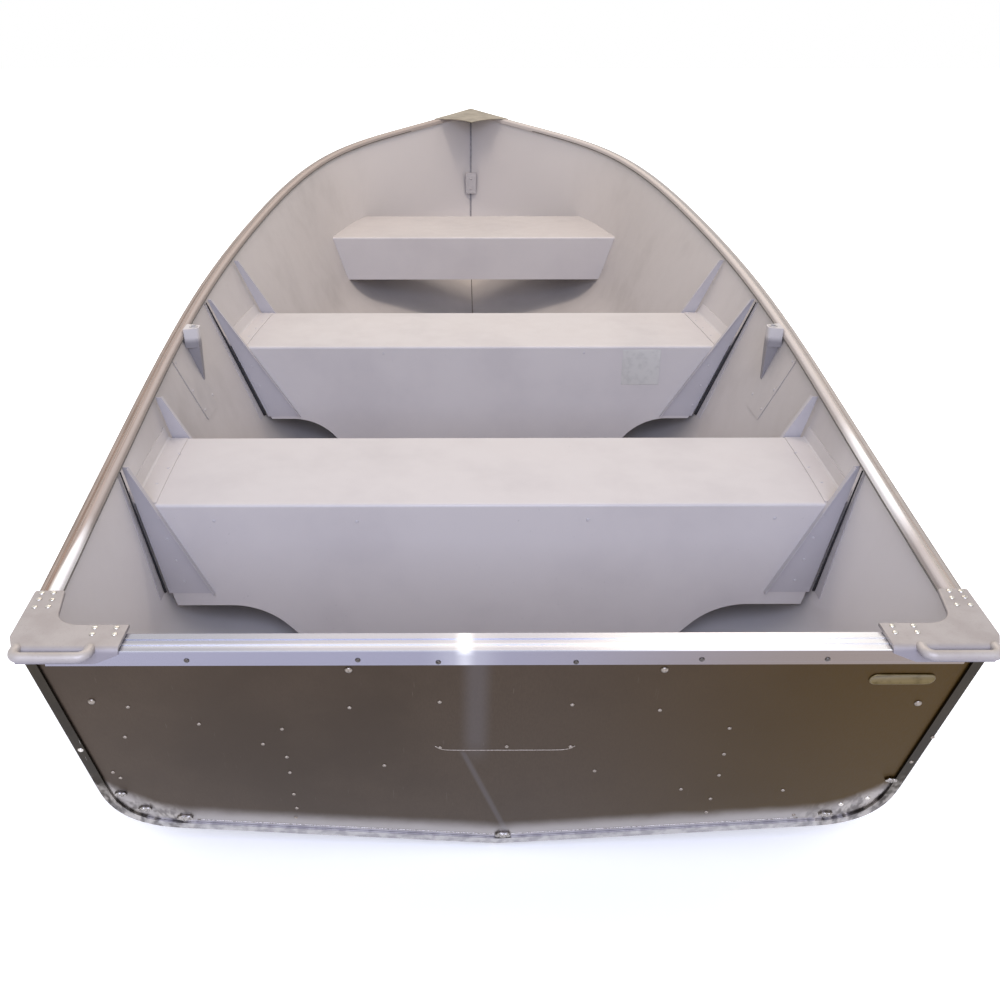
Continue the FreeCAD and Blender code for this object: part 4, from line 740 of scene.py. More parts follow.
def ring_faces(rows: int, columns: int) -> np.ndarray:
    """Four-cornered faces of a grid whose columns close on themselves.

    Args:
        rows: Rings of points.
        columns: Points in a ring.
    Returns:
        One row of four point numbers for each face.
    """
    first = np.arange(columns)
    following = (first + 1) % columns
    start = (np.arange(rows - 1) * columns)[:, None]
    corners = [start + first, start + following, start + columns + following, start + columns + first]
    return np.stack(corners, axis=-1).reshape(-1, 4)


def stacked(rings: np.ndarray) -> Mesh:
    """A closed solid of rings of points, stacked from the first to the last, with flat ends.

    The rings run counter-clockwise seen from beyond the last.

    Args:
        rings: One ring for each row, one point for each column.
    Returns:
        Points and faces.
    """
    rows, columns = rings.shape[:2]
    ends = np.arange(columns)[None]
    return rings.reshape(-1, 3), [ring_faces(rows, columns), ends[:, ::-1], ends + (rows - 1) * columns]


def spun(profile: np.ndarray, sides: int) -> np.ndarray:
    """Rings about Z: each point is (radius cos angle, radius sin angle, height)."""
    heights = np.broadcast_to(profile[:, None, 1:], (len(profile), sides, 1))
    return np.concatenate([profile[:, None, :1] * circle(sides), heights], axis=-1)


def turned(profile: np.ndarray, sides: int) -> Mesh:
    """A closed solid of revolution about Z, whose ends close in a pole.

    Args:
        profile: Rows of radius and height from the lower pole to the upper one, both left out.
        sides: Points in a ring.
    Returns:
        Points and faces.
    """
    poles = np.array([[0.0, 0.0, profile[0, 1]], [0.0, 0.0, profile[-1, 1]]])
    points = np.vstack([spun(profile, sides).reshape(-1, 3), poles])
    count, last = len(profile) * sides, (len(profile) - 1) * sides
    first = np.arange(sides)
    following = (first + 1) % sides
    low = np.stack([following, first, np.full(sides, count)], axis=-1)
    high = np.stack([last + first, last + following, np.full(sides, count + 1)], axis=-1)
    return points, [ring_faces(len(profile), sides), np.vstack([low, high])]


def frames_of(normals: np.ndarray) -> np.ndarray:
    """Square frames whose third axis is each normal.

    The first axis is the normal crossed with Y, or with X where the normal is near Y.

    Args:
        normals: Rows of unit vectors.
    Returns:
        One three by three matrix for each normal, axes in columns.
    """
    helper = np.where(np.abs(normals[:, 1:2]) < 0.9, [FORWARD], [OUTBOARD])
    first = np.cross(helper, normals)
    first /= np.linalg.norm(first, axis=1, keepdims=True)
    return np.stack([first, np.cross(normals, first), normals], axis=-1)


def repeated(mesh: Mesh, seats: np.ndarray, normals: np.ndarray, sizes: np.ndarray) -> Mesh:
    """Copies of one small mesh, each set on its seat and turned to its normal.

    A point goes to seat + frame times point times size.

    Args:
        mesh: The unit shape, with Z outwards.
        seats: Rows of places.
        normals: Rows of unit vectors.
        sizes: The scale of each copy.
    Returns:
        Points and faces of all copies together.
    """
    points, groups = mesh
    placed = np.einsum("nij,pj->npi", frames_of(normals), points) * sizes[:, None, None]
    placed += seats[:, None, :]
    shift = (np.arange(len(seats)) * len(points))[:, None, None]
    faces = [(group[None, :, :] + shift).reshape(-1, group.shape[1]) for group in groups]
    return placed.reshape(-1, 3), faces


def carried(path: np.ndarray, profile: np.ndarray, up: np.ndarray) -> Mesh:
    """A closed profile carried along a path, with both ends closed.

    A point is path + across times profile x + up times profile y, where across is the path's
    direction crossed with up.

    Args:
        path: Rows of places.
        profile: Rows of x and y, counter-clockwise seen against the path's direction, the same all
            along or one set of rows for each place.
        up: The second axis of the profile.
    Returns:
        Points and faces.
    """
    way = np.gradient(path, axis=0)
    way /= np.linalg.norm(way, axis=1, keepdims=True)
    across = np.cross(way, np.broadcast_to(up, path.shape))
    across /= np.linalg.norm(across, axis=1, keepdims=True)
    ups = np.cross(across, way)
    points, faces = stacked(path[:, None, :] + across[:, None, :] * profile[..., :1]
                            + ups[:, None, :] * profile[..., 1:])
    return points, [face[:, ::-1] for face in faces]


def joined(meshes: Sequence[Mesh]) -> Mesh:
    """Several meshes as one, with the point numbers shifted."""
    shift = np.cumsum([0] + [len(points) for points, _ in meshes])
    faces = [group + start for (_, groups), start in zip(meshes, shift) for group in groups]
    return np.vstack([points for points, _ in meshes]), faces


def mirrored(rows: np.ndarray) -> np.ndarray:
    """Places or directions, and their mirror images on the port side."""
    return np.vstack([rows, rows * TO_PORT])


class Skin:
    """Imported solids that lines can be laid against, to seat small pieces on them."""

    def __init__(self, frame: dict[str, Any], names: Sequence[str]) -> None:
        graph = bpy.context.evaluated_depsgraph_get()
        self.trees = [BVHTree.FromObject(frame["nodes"][name], graph) for name in names]

    def meet(self, start: Sequence[float], way: Sequence[float]) -> tuple[Vector, Vector] | None:
        """Where one line first meets a solid, and the normal there that faces the line."""
        hits = [tree.ray_cast(Vector(start), Vector(way).normalized()) for tree in self.trees]
        hits = [hit for hit in hits if hit[0] is not None]
        if not hits:
            return None
        place, normal, _, _ = min(hits, key=lambda hit: hit[3])
        return place, -normal if normal.dot(Vector(way)) > 0 else normal

    def seats(self, starts: np.ndarray, way: np.ndarray) -> Seats:
        """Where lines first meet the solids.

        Args:
            starts: Rows of starting places.
            way: One direction for all lines, or one for each.
        Returns:
            Rows of places and of normals that face the lines. Lines that miss are left out.
        """
        found = [self.meet(start, line) for start, line in zip(starts, np.broadcast_to(way, starts.shape))]
        places, normals = zip(*[pair for pair in found if pair])
        return np.array([tuple(place) for place in places]), np.array([tuple(normal) for normal in normals])


class HeadKind(Enum):
    """The kinds of fastener head on the boat, each with its crown height over its radius."""
    RIVET = 0.42
    LOW_RIVET = 0.26

    def mesh(self) -> Mesh:
        """The head at unit radius: a flat rim, then a crown that falls as a cosine."""
        swing = np.linspace(0.0, 0.48 * math.pi, 5)
        crown = np.stack([0.97 * np.cos(swing), 0.12 + self.value * np.sin(swing)], axis=-1)
        return turned(np.vstack([[[1.0, -0.35], [1.0, 0.05]], crown]), 14)


@dataclass(frozen=True)
class Fastener:
    """One kind of rivet or screw head, with its radius, its finish and its material slot."""
    kind: HeadKind
    radius_mm: float
    paint: Paint = Paint.RIVET
    slot: str = "bare_sheet"

    def drive(self, name: str, seats: np.ndarray, normals: np.ndarray) -> None:
        """Set a head on each seat, all of them together as one piece.

        Args:
            name: The piece's name.
            seats: Rows of places on the surface.
            normals: Rows of unit vectors out of the surface.
        """
        sizes = np.full(len(seats), self.radius_mm * MM)
        add_piece(name, repeated(self.kind.mesh(), seats, normals, sizes), self.paint)


# Sub-assemblies

@dataclass
class PackedSolids:
    """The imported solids, each given the first finish that one of its name's beginnings calls for."""
    frame: dict[str, Any]
    rules: tuple[tuple[Paint, tuple[str, ...]], ...] = (
        (Paint.HULL, ("hull_",)),
        (Paint.SEAT, ("thwart_", "bow_seat", "end_strip_")),
        (Paint.KNEE, ("knee_",)),
        (Paint.RAIL, ("gunwale_",)),
        (Paint.CASTING, ("corner_casting_",)),
        (Paint.SOCKET, ("oarlock_socket_",)),
        (Paint.BACKING, ("bow_eye_backing",)),
        (Paint.EYE, ("bow_eye",)),
        (Paint.PLATE, ("bow_plate",)),
        (Paint.BOARD, ("transom_core",)),
        (Paint.TRANSOM, ("transom_skin",)),
        (Paint.RIM, ("transom_rim",)),
        (Paint.CAP, ("transom_cap",)),
        (Paint.SHEET, ("keel", "stem_band", "strake_")),
        (Paint.INNER, ("transom_liner", "transom_knee_", "floor_rib_", "oarlock_doubler_")),
    )

    def dress(self) -> None:
        """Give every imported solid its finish."""
        for name, node in self.frame["nodes"].items():
            paint = next(paint for paint, starts in self.rules if name.startswith(starts))
            node.data.materials.clear()
            node.data.materials.append(paint.build())
        LOG.info("%d packed solids dressed", len(self.frame["nodes"]))


@dataclass
class TransomWork:
    """What is on the transom's aft face: rivets, cap screws, a pressed crease, the bright line and the
    beaten lumps of its lower edge, and a bare number plate. Places are given across and up."""
    skin: Skin
    reach: float = 0.4
    cap_screws: Places = (
        (-0.4143, 0.4660), (-0.1921, 0.4660), (-0.0876, 0.4615), (0.0920, 0.4608), (0.2553, 0.4658),
        (0.4191, 0.4655))
    small: Places = (
        (-0.0871, 0.3766), (0.0942, 0.3699), (-0.2108, 0.3650), (0.2159, 0.3577), (-0.0881, 0.2733),
        (0.0075, 0.2751), (0.0989, 0.2747), (-0.3090, 0.3176), (-0.3403, 0.2829), (-0.3098, 0.2515),
        (-0.3100, 0.2130), (-0.3104, 0.1572), (-0.3101, 0.1194), (-0.3144, 0.0930), (0.3194, 0.3168),
        (0.3226, 0.2555), (0.3246, 0.2032), (0.3227, 0.1413), (0.3225, 0.1045), (-0.5134, 0.3677),
        (-0.5329, 0.3003), (-0.4232, 0.3296), (0.2736, 0.1672), (0.4283, 0.1636), (0.1390, 0.2150),
        (-0.1700, 0.2300), (0.5979, 0.2390), (-0.5700, 0.2150), (-0.5620, 0.2010), (0.6100, 0.2980),
        (0.4600, 0.0960))
    large: Places = ((-0.2060, 0.4440), (0.2104, 0.4430), (-0.5601, 0.3796), (0.5674, 0.3714))
    corner: Places = ((0.5260, 0.1254), (0.5623, 0.1420), (-0.6010, 0.2740))
    lumps: Places = (
        (-0.4855, 0.0993), (0.5085, 0.1036), (0.0089, 0.0478), (0.5835, 0.1950), (-0.5420, 0.1240),
        (-0.5700, 0.1640))
    lump_mm: tuple[float, ...] = (12.0, 11.0, 12.0, 9.0, 10.0, 9.0)
    lump_lift_mm: float = 1.6
    lump_drop_mm: float = 2.5
    fold_height: float = 0.0205
    fold_half: float = 0.468
    fold_mm: Range = (1.3, 0.8)
    crease: tuple[float, float, float] = (-0.0950, 0.1055, 0.2665)
    crease_lift: float = 0.010
    crease_mm: float = 0.8
    plate_middle: Range = (0.5300, 0.4232)
    plate_size: Range = (0.088, 0.021)
    plate_inset_mm: tuple[float, ...] = (0.0, 0.0, 0.6, 1.6, 2.4, 3.0)
    plate_lift_mm: tuple[float, ...] = (-0.4, 1.2, 1.8, 1.8, 1.0, 0.5)

    def on_face(self, rows: Sequence[Sequence[float]] | np.ndarray) -> Seats:
        """Seats on the aft face of places given across and up."""
        return self.skin.seats(np.insert(np.array(rows), 1, TRANSOM_FOOT - self.reach, axis=1), FORWARD)

    def beaten_lumps(self) -> None:
        """Lumps of sheet beaten over at the keel and the chines, bright as worn metal and as a painted
        highlight.

        A lump is a low dome whose outline swells as one plus a tenth of a sine of five times the
        angle, whose height ripples as a product of two sines of X and Y, and which is half as high
        as it is wide.
        """
        swing = np.linspace(0.0, 0.47 * math.pi, 9)
        crown = np.stack([np.cos(swing), 0.05 + 0.26 * np.sin(swing)], axis=-1)
        points, groups = turned(np.vstack([[[1.0, -0.30]], crown]), 30)
        x, y, z = points.T
        swell = 1.0 + 0.10 * np.sin(5.0 * np.arctan2(y, x) + 0.7)
        ripple = np.where(z > 0.1, 0.10 * np.sin(x * 13.0) * np.cos(y * 9.0 + 1.1), 0.0)
        lump = np.stack([y * swell * 0.5, -x * swell, z + ripple], axis=-1)
        seats, normals = self.on_face(self.lumps)
        seats = seats + normals * self.lump_lift_mm * MM - UP * (self.lump_drop_mm * MM)
        mesh = repeated((lump, groups), seats, normals, np.array(self.lump_mm) * MM)
        add_piece("beaten_edge_lumps", mesh, Paint.CRIMP)

    def line(self, name: str, rows: np.ndarray, profile: np.ndarray, paint: Paint) -> None:
        """A thin raised line along places on the aft face."""
        seats, normals = self.on_face(rows)
        add_piece(name, carried(seats, profile, normals.mean(axis=0)), paint)

    def fold(self) -> None:
        """The pressed line of the folded edge, parallel to the boat's lower edge, bright as worn metal and as
        a painted highlight.
        """
        across = np.linspace(-self.fold_half, self.fold_half, 160)
        height = HULL_BASE + DEADRISE * np.abs(across) + self.fold_height
        profile = circle(8) * (np.array(self.fold_mm) * MM)
        self.line("transom_fold", np.stack([across, height], axis=-1), profile, Paint.CRIMP)

    def pressed_crease(self) -> None:
        """A shallow crease pressed into the sheet under the clamp's place, lifted at both ends as an
        exponential of the distance from the end."""
        first, last, height = self.crease
        share = np.linspace(0.0, 1.0, 41)
        lift = self.crease_lift * np.exp(-np.minimum(share, 1.0 - share) * 28.0)
        rows = np.stack([first + (last - first) * share, height + lift], axis=-1)
        self.line("transom_crease", rows, circle(8) * (self.crease_mm * MM) * [1.0, 0.7], Paint.SHEET_RIVET)

    def number_plate(self) -> None:
        """A bare raised plate with round ends and a lifted rim, where a number could be struck.

        The outline is a stadium: a circle of half the plate's height, drawn apart by its straight
        length. Rings of it at growing shares of its width rise to the rim and dip to the field.
        """
        width, height = self.plate_size
        seats, normals = self.on_face([self.plate_middle])
        unit = circle(48)
        outline = unit * height * 0.5
        stretch = np.clip(unit[:, 0] * 6.0, -1.0, 1.0) * (width - height) * 0.5
        insets, lifts = np.array([self.plate_inset_mm, self.plate_lift_mm]) * MM
        shrink = 1.0 - insets[:, None] / (height * 0.5)
        rings = np.stack([outline[:, 0] * shrink + stretch, outline[:, 1] * shrink,
                          np.broadcast_to(lifts[:, None], (len(lifts), len(unit)))], axis=-1)
        axes = np.array([OUTBOARD, [0.0, -math.sin(RAKE), math.cos(RAKE)], normals[0]])
        add_piece("number_plate", stacked(rings @ axes + seats[0]), Paint.NUMBER_PLATE)

    def build(self) -> None:
        """Make every piece."""
        Fastener(HeadKind.RIVET, 2.9, Paint.SHEET_RIVET).drive("transom_rivets", *self.on_face(self.small))
        Fastener(HeadKind.RIVET, 5.2, Paint.SHEET_RIVET).drive("transom_large_rivets",
                                                               *self.on_face(self.large))
        Fastener(HeadKind.RIVET, 4.2).drive("transom_corner_rivets", *self.on_face(self.corner))
        self.beaten_lumps()
        self.fold()
        Fastener(HeadKind.RIVET, 3.8, Paint.DARK_BOLT, "bright_cap").drive(
            "cap_bolts", *self.on_face(self.cap_screws))
        self.pressed_crease()
        self.number_plate()


@dataclass
class CornerWork:
    """Rivets of the corner castings: six on the fore arm and four on the transom arm."""
    skin: Skin
    fore_arm: Places = (
        (0.6414, -1.7136), (0.6254, -1.7130), (0.6398, -1.7290), (0.6215, -1.7303), (0.6388, -1.7485),
        (0.6207, -1.7477))
    transom_arm: Places = (
        (0.5411, -1.7978), (0.5127, -1.7978), (0.5401, -1.8127), (0.5108, -1.8132))
    above: float = 0.6

    def build(self) -> None:
        """Make the rivets of both corners."""
        rows = np.insert(np.array(self.fore_arm + self.transom_arm), 2, self.above, axis=1)
        Fastener(HeadKind.RIVET, 4.1, slot="cast_alloy").drive(
            "casting_rivets", *self.skin.seats(mirrored(rows), -UP))


@dataclass
class SeatWork:
    """Rivets of the benches, their end strips and knees, a black bead of painted shade and a flange at each
    aft knee's joint, and the bare notice plate. A strip's run gives its start, its end, its place outboard
    and the lean of its line."""
    seats_skin: Skin
    faces_skin: Skin
    hull_skin: Skin
    above: float = 0.6
    strip_runs: tuple[tuple[float, ...], ...] = ((-1.232, -0.957, 0.646, -0.018),
                                                 (-0.347, -0.076, 0.632, -0.026))
    strip_count: int = 5
    aft_face: Places = ((-0.5172, 0.3523), (-0.2503, 0.3500), (0.1816, 0.3530), (0.5311, 0.3560))
    mid_face: Places = ((-0.2567, 0.3720), (0.2726, 0.3730))
    aft_start: float = -1.5
    mid_start: float = -0.5
    knee_rows: tuple[tuple[str, float, int], ...] = (
        ("thwart_aft_aft", 1.0, 4), ("thwart_mid_aft", 1.0, 4), ("thwart_aft_fore", -1.0, 2),
        ("thwart_mid_fore", -1.0, 2))
    knee_clear: float = 0.05
    knee_height: Range = (0.10, 0.62)
    knee_line: Range = (0.36, 0.42)
    seams: tuple[tuple[str, float, float], ...] = (("thwart_aft_aft", 1.3, 2.6), ("thwart_mid_aft", 1.5, 4.4))
    seam_count: int = 36
    seam_ends: Range = (0.008, 0.006)
    seam_from: float = 0.7
    bead_ahead: float = 0.002
    bead_in: float = 0.0034
    flange_near: float = -0.003
    flange_far: float = -0.008
    flange_spread: float = -0.020
    flange_sheet: float = 0.0017
    notice_middle: tuple[float, float, float] = (0.4268, -0.3632, 0.3325)
    notice_size: Range = (0.100, 0.098)
    notice_corner_mm: float = 3.0
    notice_inset_mm: tuple[float, ...] = (0.0, 0.0, 0.8)
    notice_depth_mm: tuple[float, ...] = (0.1, -0.4, -0.6)
    paint_rivet: Fastener = Fastener(HeadKind.LOW_RIVET, 3.0, Paint.PAINTED_RIVET, "knee_paint")
    face_rivet: Fastener = Fastener(HeadKind.LOW_RIVET, 3.4, Paint.PAINTED_RIVET, "seat_paint")

    def strips(self) -> None:
        """Small flush rivets along the seat flange of each end strip."""
        count = self.strip_count
        rows = [np.stack([out + np.linspace(0.0, lean, count), np.linspace(start, end, count),
                          np.full(count, self.above)], axis=-1) for start, end, out, lean in self.strip_runs]
        self.paint_rivet.drive("end_strip_rivets", *self.seats_skin.seats(mirrored(np.vstack(rows)), -UP))

    def faces(self) -> None:
        """Faint rivets high on the benches' aft faces, where an inner angle is fixed."""
        rows = [np.insert(np.array(places), 1, start, axis=1)
                for places, start in ((self.aft_face, self.aft_start), (self.mid_face, self.mid_start))]
        self.face_rivet.drive("bench_face_rivets", *self.faces_skin.seats(np.vstack(rows), FORWARD))

    def knees(self) -> None:
        """Rivets down the seat knees, through the plate into the bench and its end."""
        rows, ways = [], []
        for label, way, count in self.knee_rows:
            low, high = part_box("knee_%s_starboard" % label)
            share = np.linspace(*self.knee_height, count)
            across = low[0] + (high[0] - low[0]) * (self.knee_line[0] + self.knee_line[1] * share)
            station = low[1] - self.knee_clear if way > 0 else high[1] + self.knee_clear
            rows.append(np.stack([across, np.full(count, station), low[2] + (high[2] - low[2]) * share],
                                 axis=-1))
            ways.append(np.repeat([FORWARD * way], count, axis=0))
        seats = self.faces_skin.seats(mirrored(np.vstack(rows)), mirrored(np.vstack(ways)))
        self.paint_rivet.drive("knee_rivets", *seats)

    def knee_seams(self) -> None:
        """A black bead in the joint between each aft knee and the side, a dark piece set where there is only
        the shade of the gap behind the knee: painted shade. And the flange of the knee that lies on the side
        behind it.

        The bead's path is the side's inner surface at the knee's aft face, moved in by half the
        joint, and its radius grows downwards. The flange is a flat ring of four points carried
        down the side: two on its surface and two a sheet's thickness in, at stations that spread.
        """
        beads, flanges = [], []
        share = np.linspace(0.0, 1.0, self.seam_count)
        for label, top, foot in self.seams:
            low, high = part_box("knee_%s_starboard" % label)
            heights = np.linspace(high[2] - self.seam_ends[1], low[2] + self.seam_ends[0], self.seam_count)
            inside = np.full(self.seam_count, low[0] * self.seam_from)
            spread = self.flange_far + self.flange_spread * share
            joint, near, far = [
                self.hull_skin.seats(np.stack([inside, low[1] + ahead + 0.0 * share, heights], axis=-1),
                                     OUTBOARD)[0]
                for ahead in (self.bead_ahead, self.flange_near, spread)]
            sheet = OUTBOARD * self.flange_sheet
            ring = np.stack([near, far, far - sheet, near - sheet], axis=1)
            radius = (top + (foot - top) * share) * MM
            profile = circle(10)[None] * radius[:, None, None]
            inner = joint - OUTBOARD * self.bead_in
            beads += [carried(path, profile, FORWARD) for path in (inner, inner * TO_PORT)]
            flanges += [stacked(ring), stacked((ring * TO_PORT)[:, ::-1])]
        add_piece("knee_gap_shade_bead", joined(beads), Paint.JOINT_SEALANT)
        add_piece("knee_flanges", joined(flanges), Paint.KNEE, smooth=False)

    def notice(self) -> None:
        """A bare thin plate with round corners on the middle bench's aft face."""
        half = np.array(self.notice_size) * 0.5
        insets, lifts = np.array([self.notice_inset_mm, self.notice_depth_mm]) * MM
        corner = self.notice_corner_mm * MM
        unit = circle(32, math.pi / 32)
        rings = np.sign(unit) * (half - corner) + unit * (corner - insets)[:, None, None]
        depth = np.broadcast_to(lifts[:, None], rings.shape[:2])
        points = np.stack([rings[..., 0], depth, rings[..., 1]], axis=-1) + self.notice_middle
        add_piece("notice_plate", stacked(points), Paint.NOTICE)

    def build(self) -> None:
        """Make every piece."""
        self.strips()
        self.faces()
        self.knees()
        self.knee_seams()
        self.notice()


@dataclass
class GunwaleWork:
    """Rivets through the gunwale's outer leg, and the joint along its inner lip."""
    skin: Skin
    pitch: float = 0.155
    margin: float = 0.12
    outside: float = 1.2
    below_top: float = 0.0215
    search: Range = (0.80, 0.44)
    rivet_search: tuple[float, float, float] = (0.80, 0.42, -0.004)
    joint_ends: Range = (-1.770, 1.560)
    joint_stations: int = 150
    joint_step: float = -0.0015
    joint_mm: float = 1.7
    joint_rise: float = 0.0012
    lip_step: float = 0.004

    def joint(self) -> None:
        """The thin dark bead of sealant where the rail's inner lip meets the side.

        Its path is the lowest place at each station where a line from the middle, pointed outboard,
        meets the inner lip, before it passes under the lip to the outer leg. The places are
        smoothed by a running mean of five.
        """
        rows = []
        for station in np.linspace(*self.joint_ends, self.joint_stations):
            heights = np.arange(*self.search, self.joint_step)
            places, _ = self.skin.seats(np.array([(0.0, station, height) for height in heights]), OUTBOARD)
            passed = np.flatnonzero(np.diff(places[:, 0])[2:] > self.lip_step)
            rows.append(places[passed[0] + 2 if len(passed) else -1])
        path, kernel = np.array(rows), np.ones(5) / 5.0
        inner = np.stack([np.convolve(path[:, axis], kernel, "valid") for axis in range(3)], axis=-1)
        inner += UP * self.joint_rise
        profile = circle(8) * (self.joint_mm * MM)
        meshes = [carried(line, profile, UP) for line in (inner, inner * TO_PORT)]
        add_piece("rail_sealant", joined(meshes), Paint.RAIL_SEALANT)

    def rivets(self) -> None:
        """Rivets at an even pitch, a set height below the first line from outboard that meets the rail."""
        low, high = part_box("gunwale_starboard")
        rows = []
        for station in np.arange(low[1] + self.margin, high[1] - self.margin, self.pitch):
            height = next(height for height in np.arange(*self.rivet_search)
                          if self.skin.meet((self.outside, station, height), -OUTBOARD))
            rows.append((self.outside, station, height - self.below_top))
        seats, normals = self.skin.seats(np.array(rows), -OUTBOARD)
        Fastener(HeadKind.LOW_RIVET, 4.0, slot="bright_rail").drive(
            "gunwale_rivets", mirrored(seats), mirrored(normals))

    def build(self) -> None:
        """Make the joint and the rivets."""
        self.joint()
        self.rivets()


@dataclass
class BottomWork:
    """Rivets under the boat: through the keel, the strakes and the floor ribs, and up the stem."""
    keel: Skin
    strakes: Skin
    hull: Skin
    band: Skin
    below: float = -0.2
    keel_lines: Range = (-0.012, 0.012)
    keel_run: tuple[float, float, float] = (-1.56, 1.30, 0.15)
    strake_lines: tuple[float, ...] = (-0.37, -0.19, 0.19, 0.37)
    strake_run: tuple[float, float, float] = (-1.54, 0.41, 0.12)
    strake_clear: float = 0.02
    rib_run: tuple[float, float, float] = (-0.41, 0.42, 0.082)
    rib_count: int = 5
    stem_run: tuple[float, float, float] = (0.18, 0.66, 0.06)
    ahead: float = 2.4

    def under(self, lines: Sequence[float], run: Sequence[float]) -> np.ndarray:
        """Places below the boat: lengthwise lines at some distances from the middle, at a pitch."""
        across, along = np.meshgrid(np.array(lines), np.arange(*run))
        return np.stack([across.ravel(), along.ravel(), np.full(across.size, self.below)], axis=-1)

    def rib_rows(self) -> np.ndarray:
        """Places below each floor rib, clear of the strakes."""
        clear = [x for x in np.arange(*self.rib_run)
                 if all(abs(x - line) > self.strake_clear for line in self.strake_lines)]
        boxes = [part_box("floor_rib_%d" % number) for number in range(1, self.rib_count + 1)]
        return np.array([(x, (low[1] + high[1]) * 0.5, self.below) for low, high in boxes for x in clear])

    def build(self) -> None:
        """Make every row."""
        wide, narrow = Fastener(HeadKind.LOW_RIVET, 3.6), Fastener(HeadKind.LOW_RIVET, 3.4)
        wide.drive("keel_rivets", *self.keel.seats(self.under(self.keel_lines, self.keel_run), UP))
        narrow.drive("strake_rivets", *self.strakes.seats(self.under(self.strake_lines, self.strake_run), UP))
        wide.drive("floor_rib_rivets", *self.hull.seats(self.rib_rows(), UP))
        stem = np.array([(0.0, self.ahead, height) for height in np.arange(*self.stem_run)])
        narrow.drive("stem_rivets", *self.band.seats(stem, AFT))


@dataclass
class OarlockWork:
    """Nylon bushings in the oarlock bores and the rivets of the sockets' doublers."""
    skin: Skin
    middle: Range = (0.683348, -0.608181)
    bore_mm: float = 6.5
    flange_mm: float = 3.2
    top: float = 0.523742
    inside: float = 0.4
    rivets: Places = ((-0.118, 0.478), (0.034, 0.478), (-0.095, 0.400), (0.002, 0.352), (-0.078, 0.345))

    def build(self) -> None:
        """Make the bushings' collars and the rivets.

        A collar is a ring turned about the bore's axis, from the bore out to a flat flange. Its
        profile closes on itself, so the last ring of faces meets the first ring of points.
        """
        inner, outer = self.bore_mm, self.bore_mm + self.flange_mm
        profile = np.array([[inner, 0.0], [outer, 0.0], [outer, 1.4], [outer - 0.6, 2.0],
                            [inner + 0.4, 2.0], [inner, 1.6]]) * MM
        rings = spun(profile, 40)
        count, sides = rings.shape[:2]
        faces = ring_faces(count + 1, sides) % (count * sides)
        x, y = self.middle
        meshes = [(rings.reshape(-1, 3) + [side * x, y, self.top], [faces]) for side in (-1.0, 1.0)]
        add_piece("oarlock_bushings", joined(meshes), Paint.BUSHING)
        rows = np.array([(self.inside, y + along, height) for along, height in self.rivets])
        seats, normals = self.skin.seats(rows, OUTBOARD)
        Fastener(HeadKind.LOW_RIVET, 3.6, Paint.PAINTED_RIVET, "hull_paint").drive(
            "oarlock_rivets", mirrored(seats), mirrored(normals))


@dataclass
class BowWork:
    """The backing bracket's nuts, the bow plate's rivets and the bead of sealant in the stem."""
    backing: Skin
    plate: Skin
    sides: Skin
    nuts: tuple[tuple[float, float, float], ...] = ((0.0, 1.5, 0.4594), (0.0, 1.5, 0.4160))
    plate_rivets: tuple[tuple[float, float, float], ...] = ((0.122, 1.700, 0.9), (0.072, 1.768, 0.9))
    seam_heights: Range = (0.705, 0.16)
    seam_count: int = 60
    seam_start: Range = (0.0022, 0.9)
    seam_mm: Range = (4.2, 2.2)
    seam_sink: float = 0.0006

    def build(self) -> None:
        """Make every piece."""
        Fastener(HeadKind.RIVET, 5.0, Paint.BACKING, "eye_steel").drive(
            "bow_eye_nuts", *self.backing.seats(np.array(self.nuts), FORWARD))
        Fastener(HeadKind.LOW_RIVET, 4.0, slot="cast_alloy").drive(
            "bow_plate_rivets", *self.plate.seats(mirrored(np.array(self.plate_rivets)), -UP))
        self.seam()

    def seam(self) -> None:
        """The bead of sealant down the inside of the stem, where the two side sheets meet."""
        x, y = self.seam_start
        starts = np.array([(x, y, height) for height in np.linspace(*self.seam_heights, self.seam_count)])
        seats, _ = self.sides.seats(starts, FORWARD)
        path = seats * [0.0, 1.0, 1.0] - FORWARD * self.seam_sink
        profile = circle(12) * (np.array(self.seam_mm) * MM)
        up = AFT + 0.3 * UP
        add_piece("stem_sealant", carried(path, profile, up), Paint.SEALANT)


# Stage

@dataclass(frozen=True)
class Lamp:
    """One soft lamp over the stage."""
    name: str
    place: tuple[float, float, float]
    target: tuple[float, float, float]
    size: Range
    power: float
    tint: str

    def build(self) -> None:
        """Hang the lamp and point it at its target."""
        data = bpy.data.lights.new(self.name, "AREA")
        data.shape = "RECTANGLE"
        data.size, data.size_y = self.size
        data.energy = self.power
        data.color = linear(self.tint)[:3]
        lamp = bpy.data.objects.new(self.name, data)
        lamp.location = self.place
        aim = Vector(self.target) - Vector(self.place)
        lamp.rotation_euler = aim.to_track_quat("-Z", "Y").to_euler()
        bpy.context.scene.collection.objects.link(lamp)


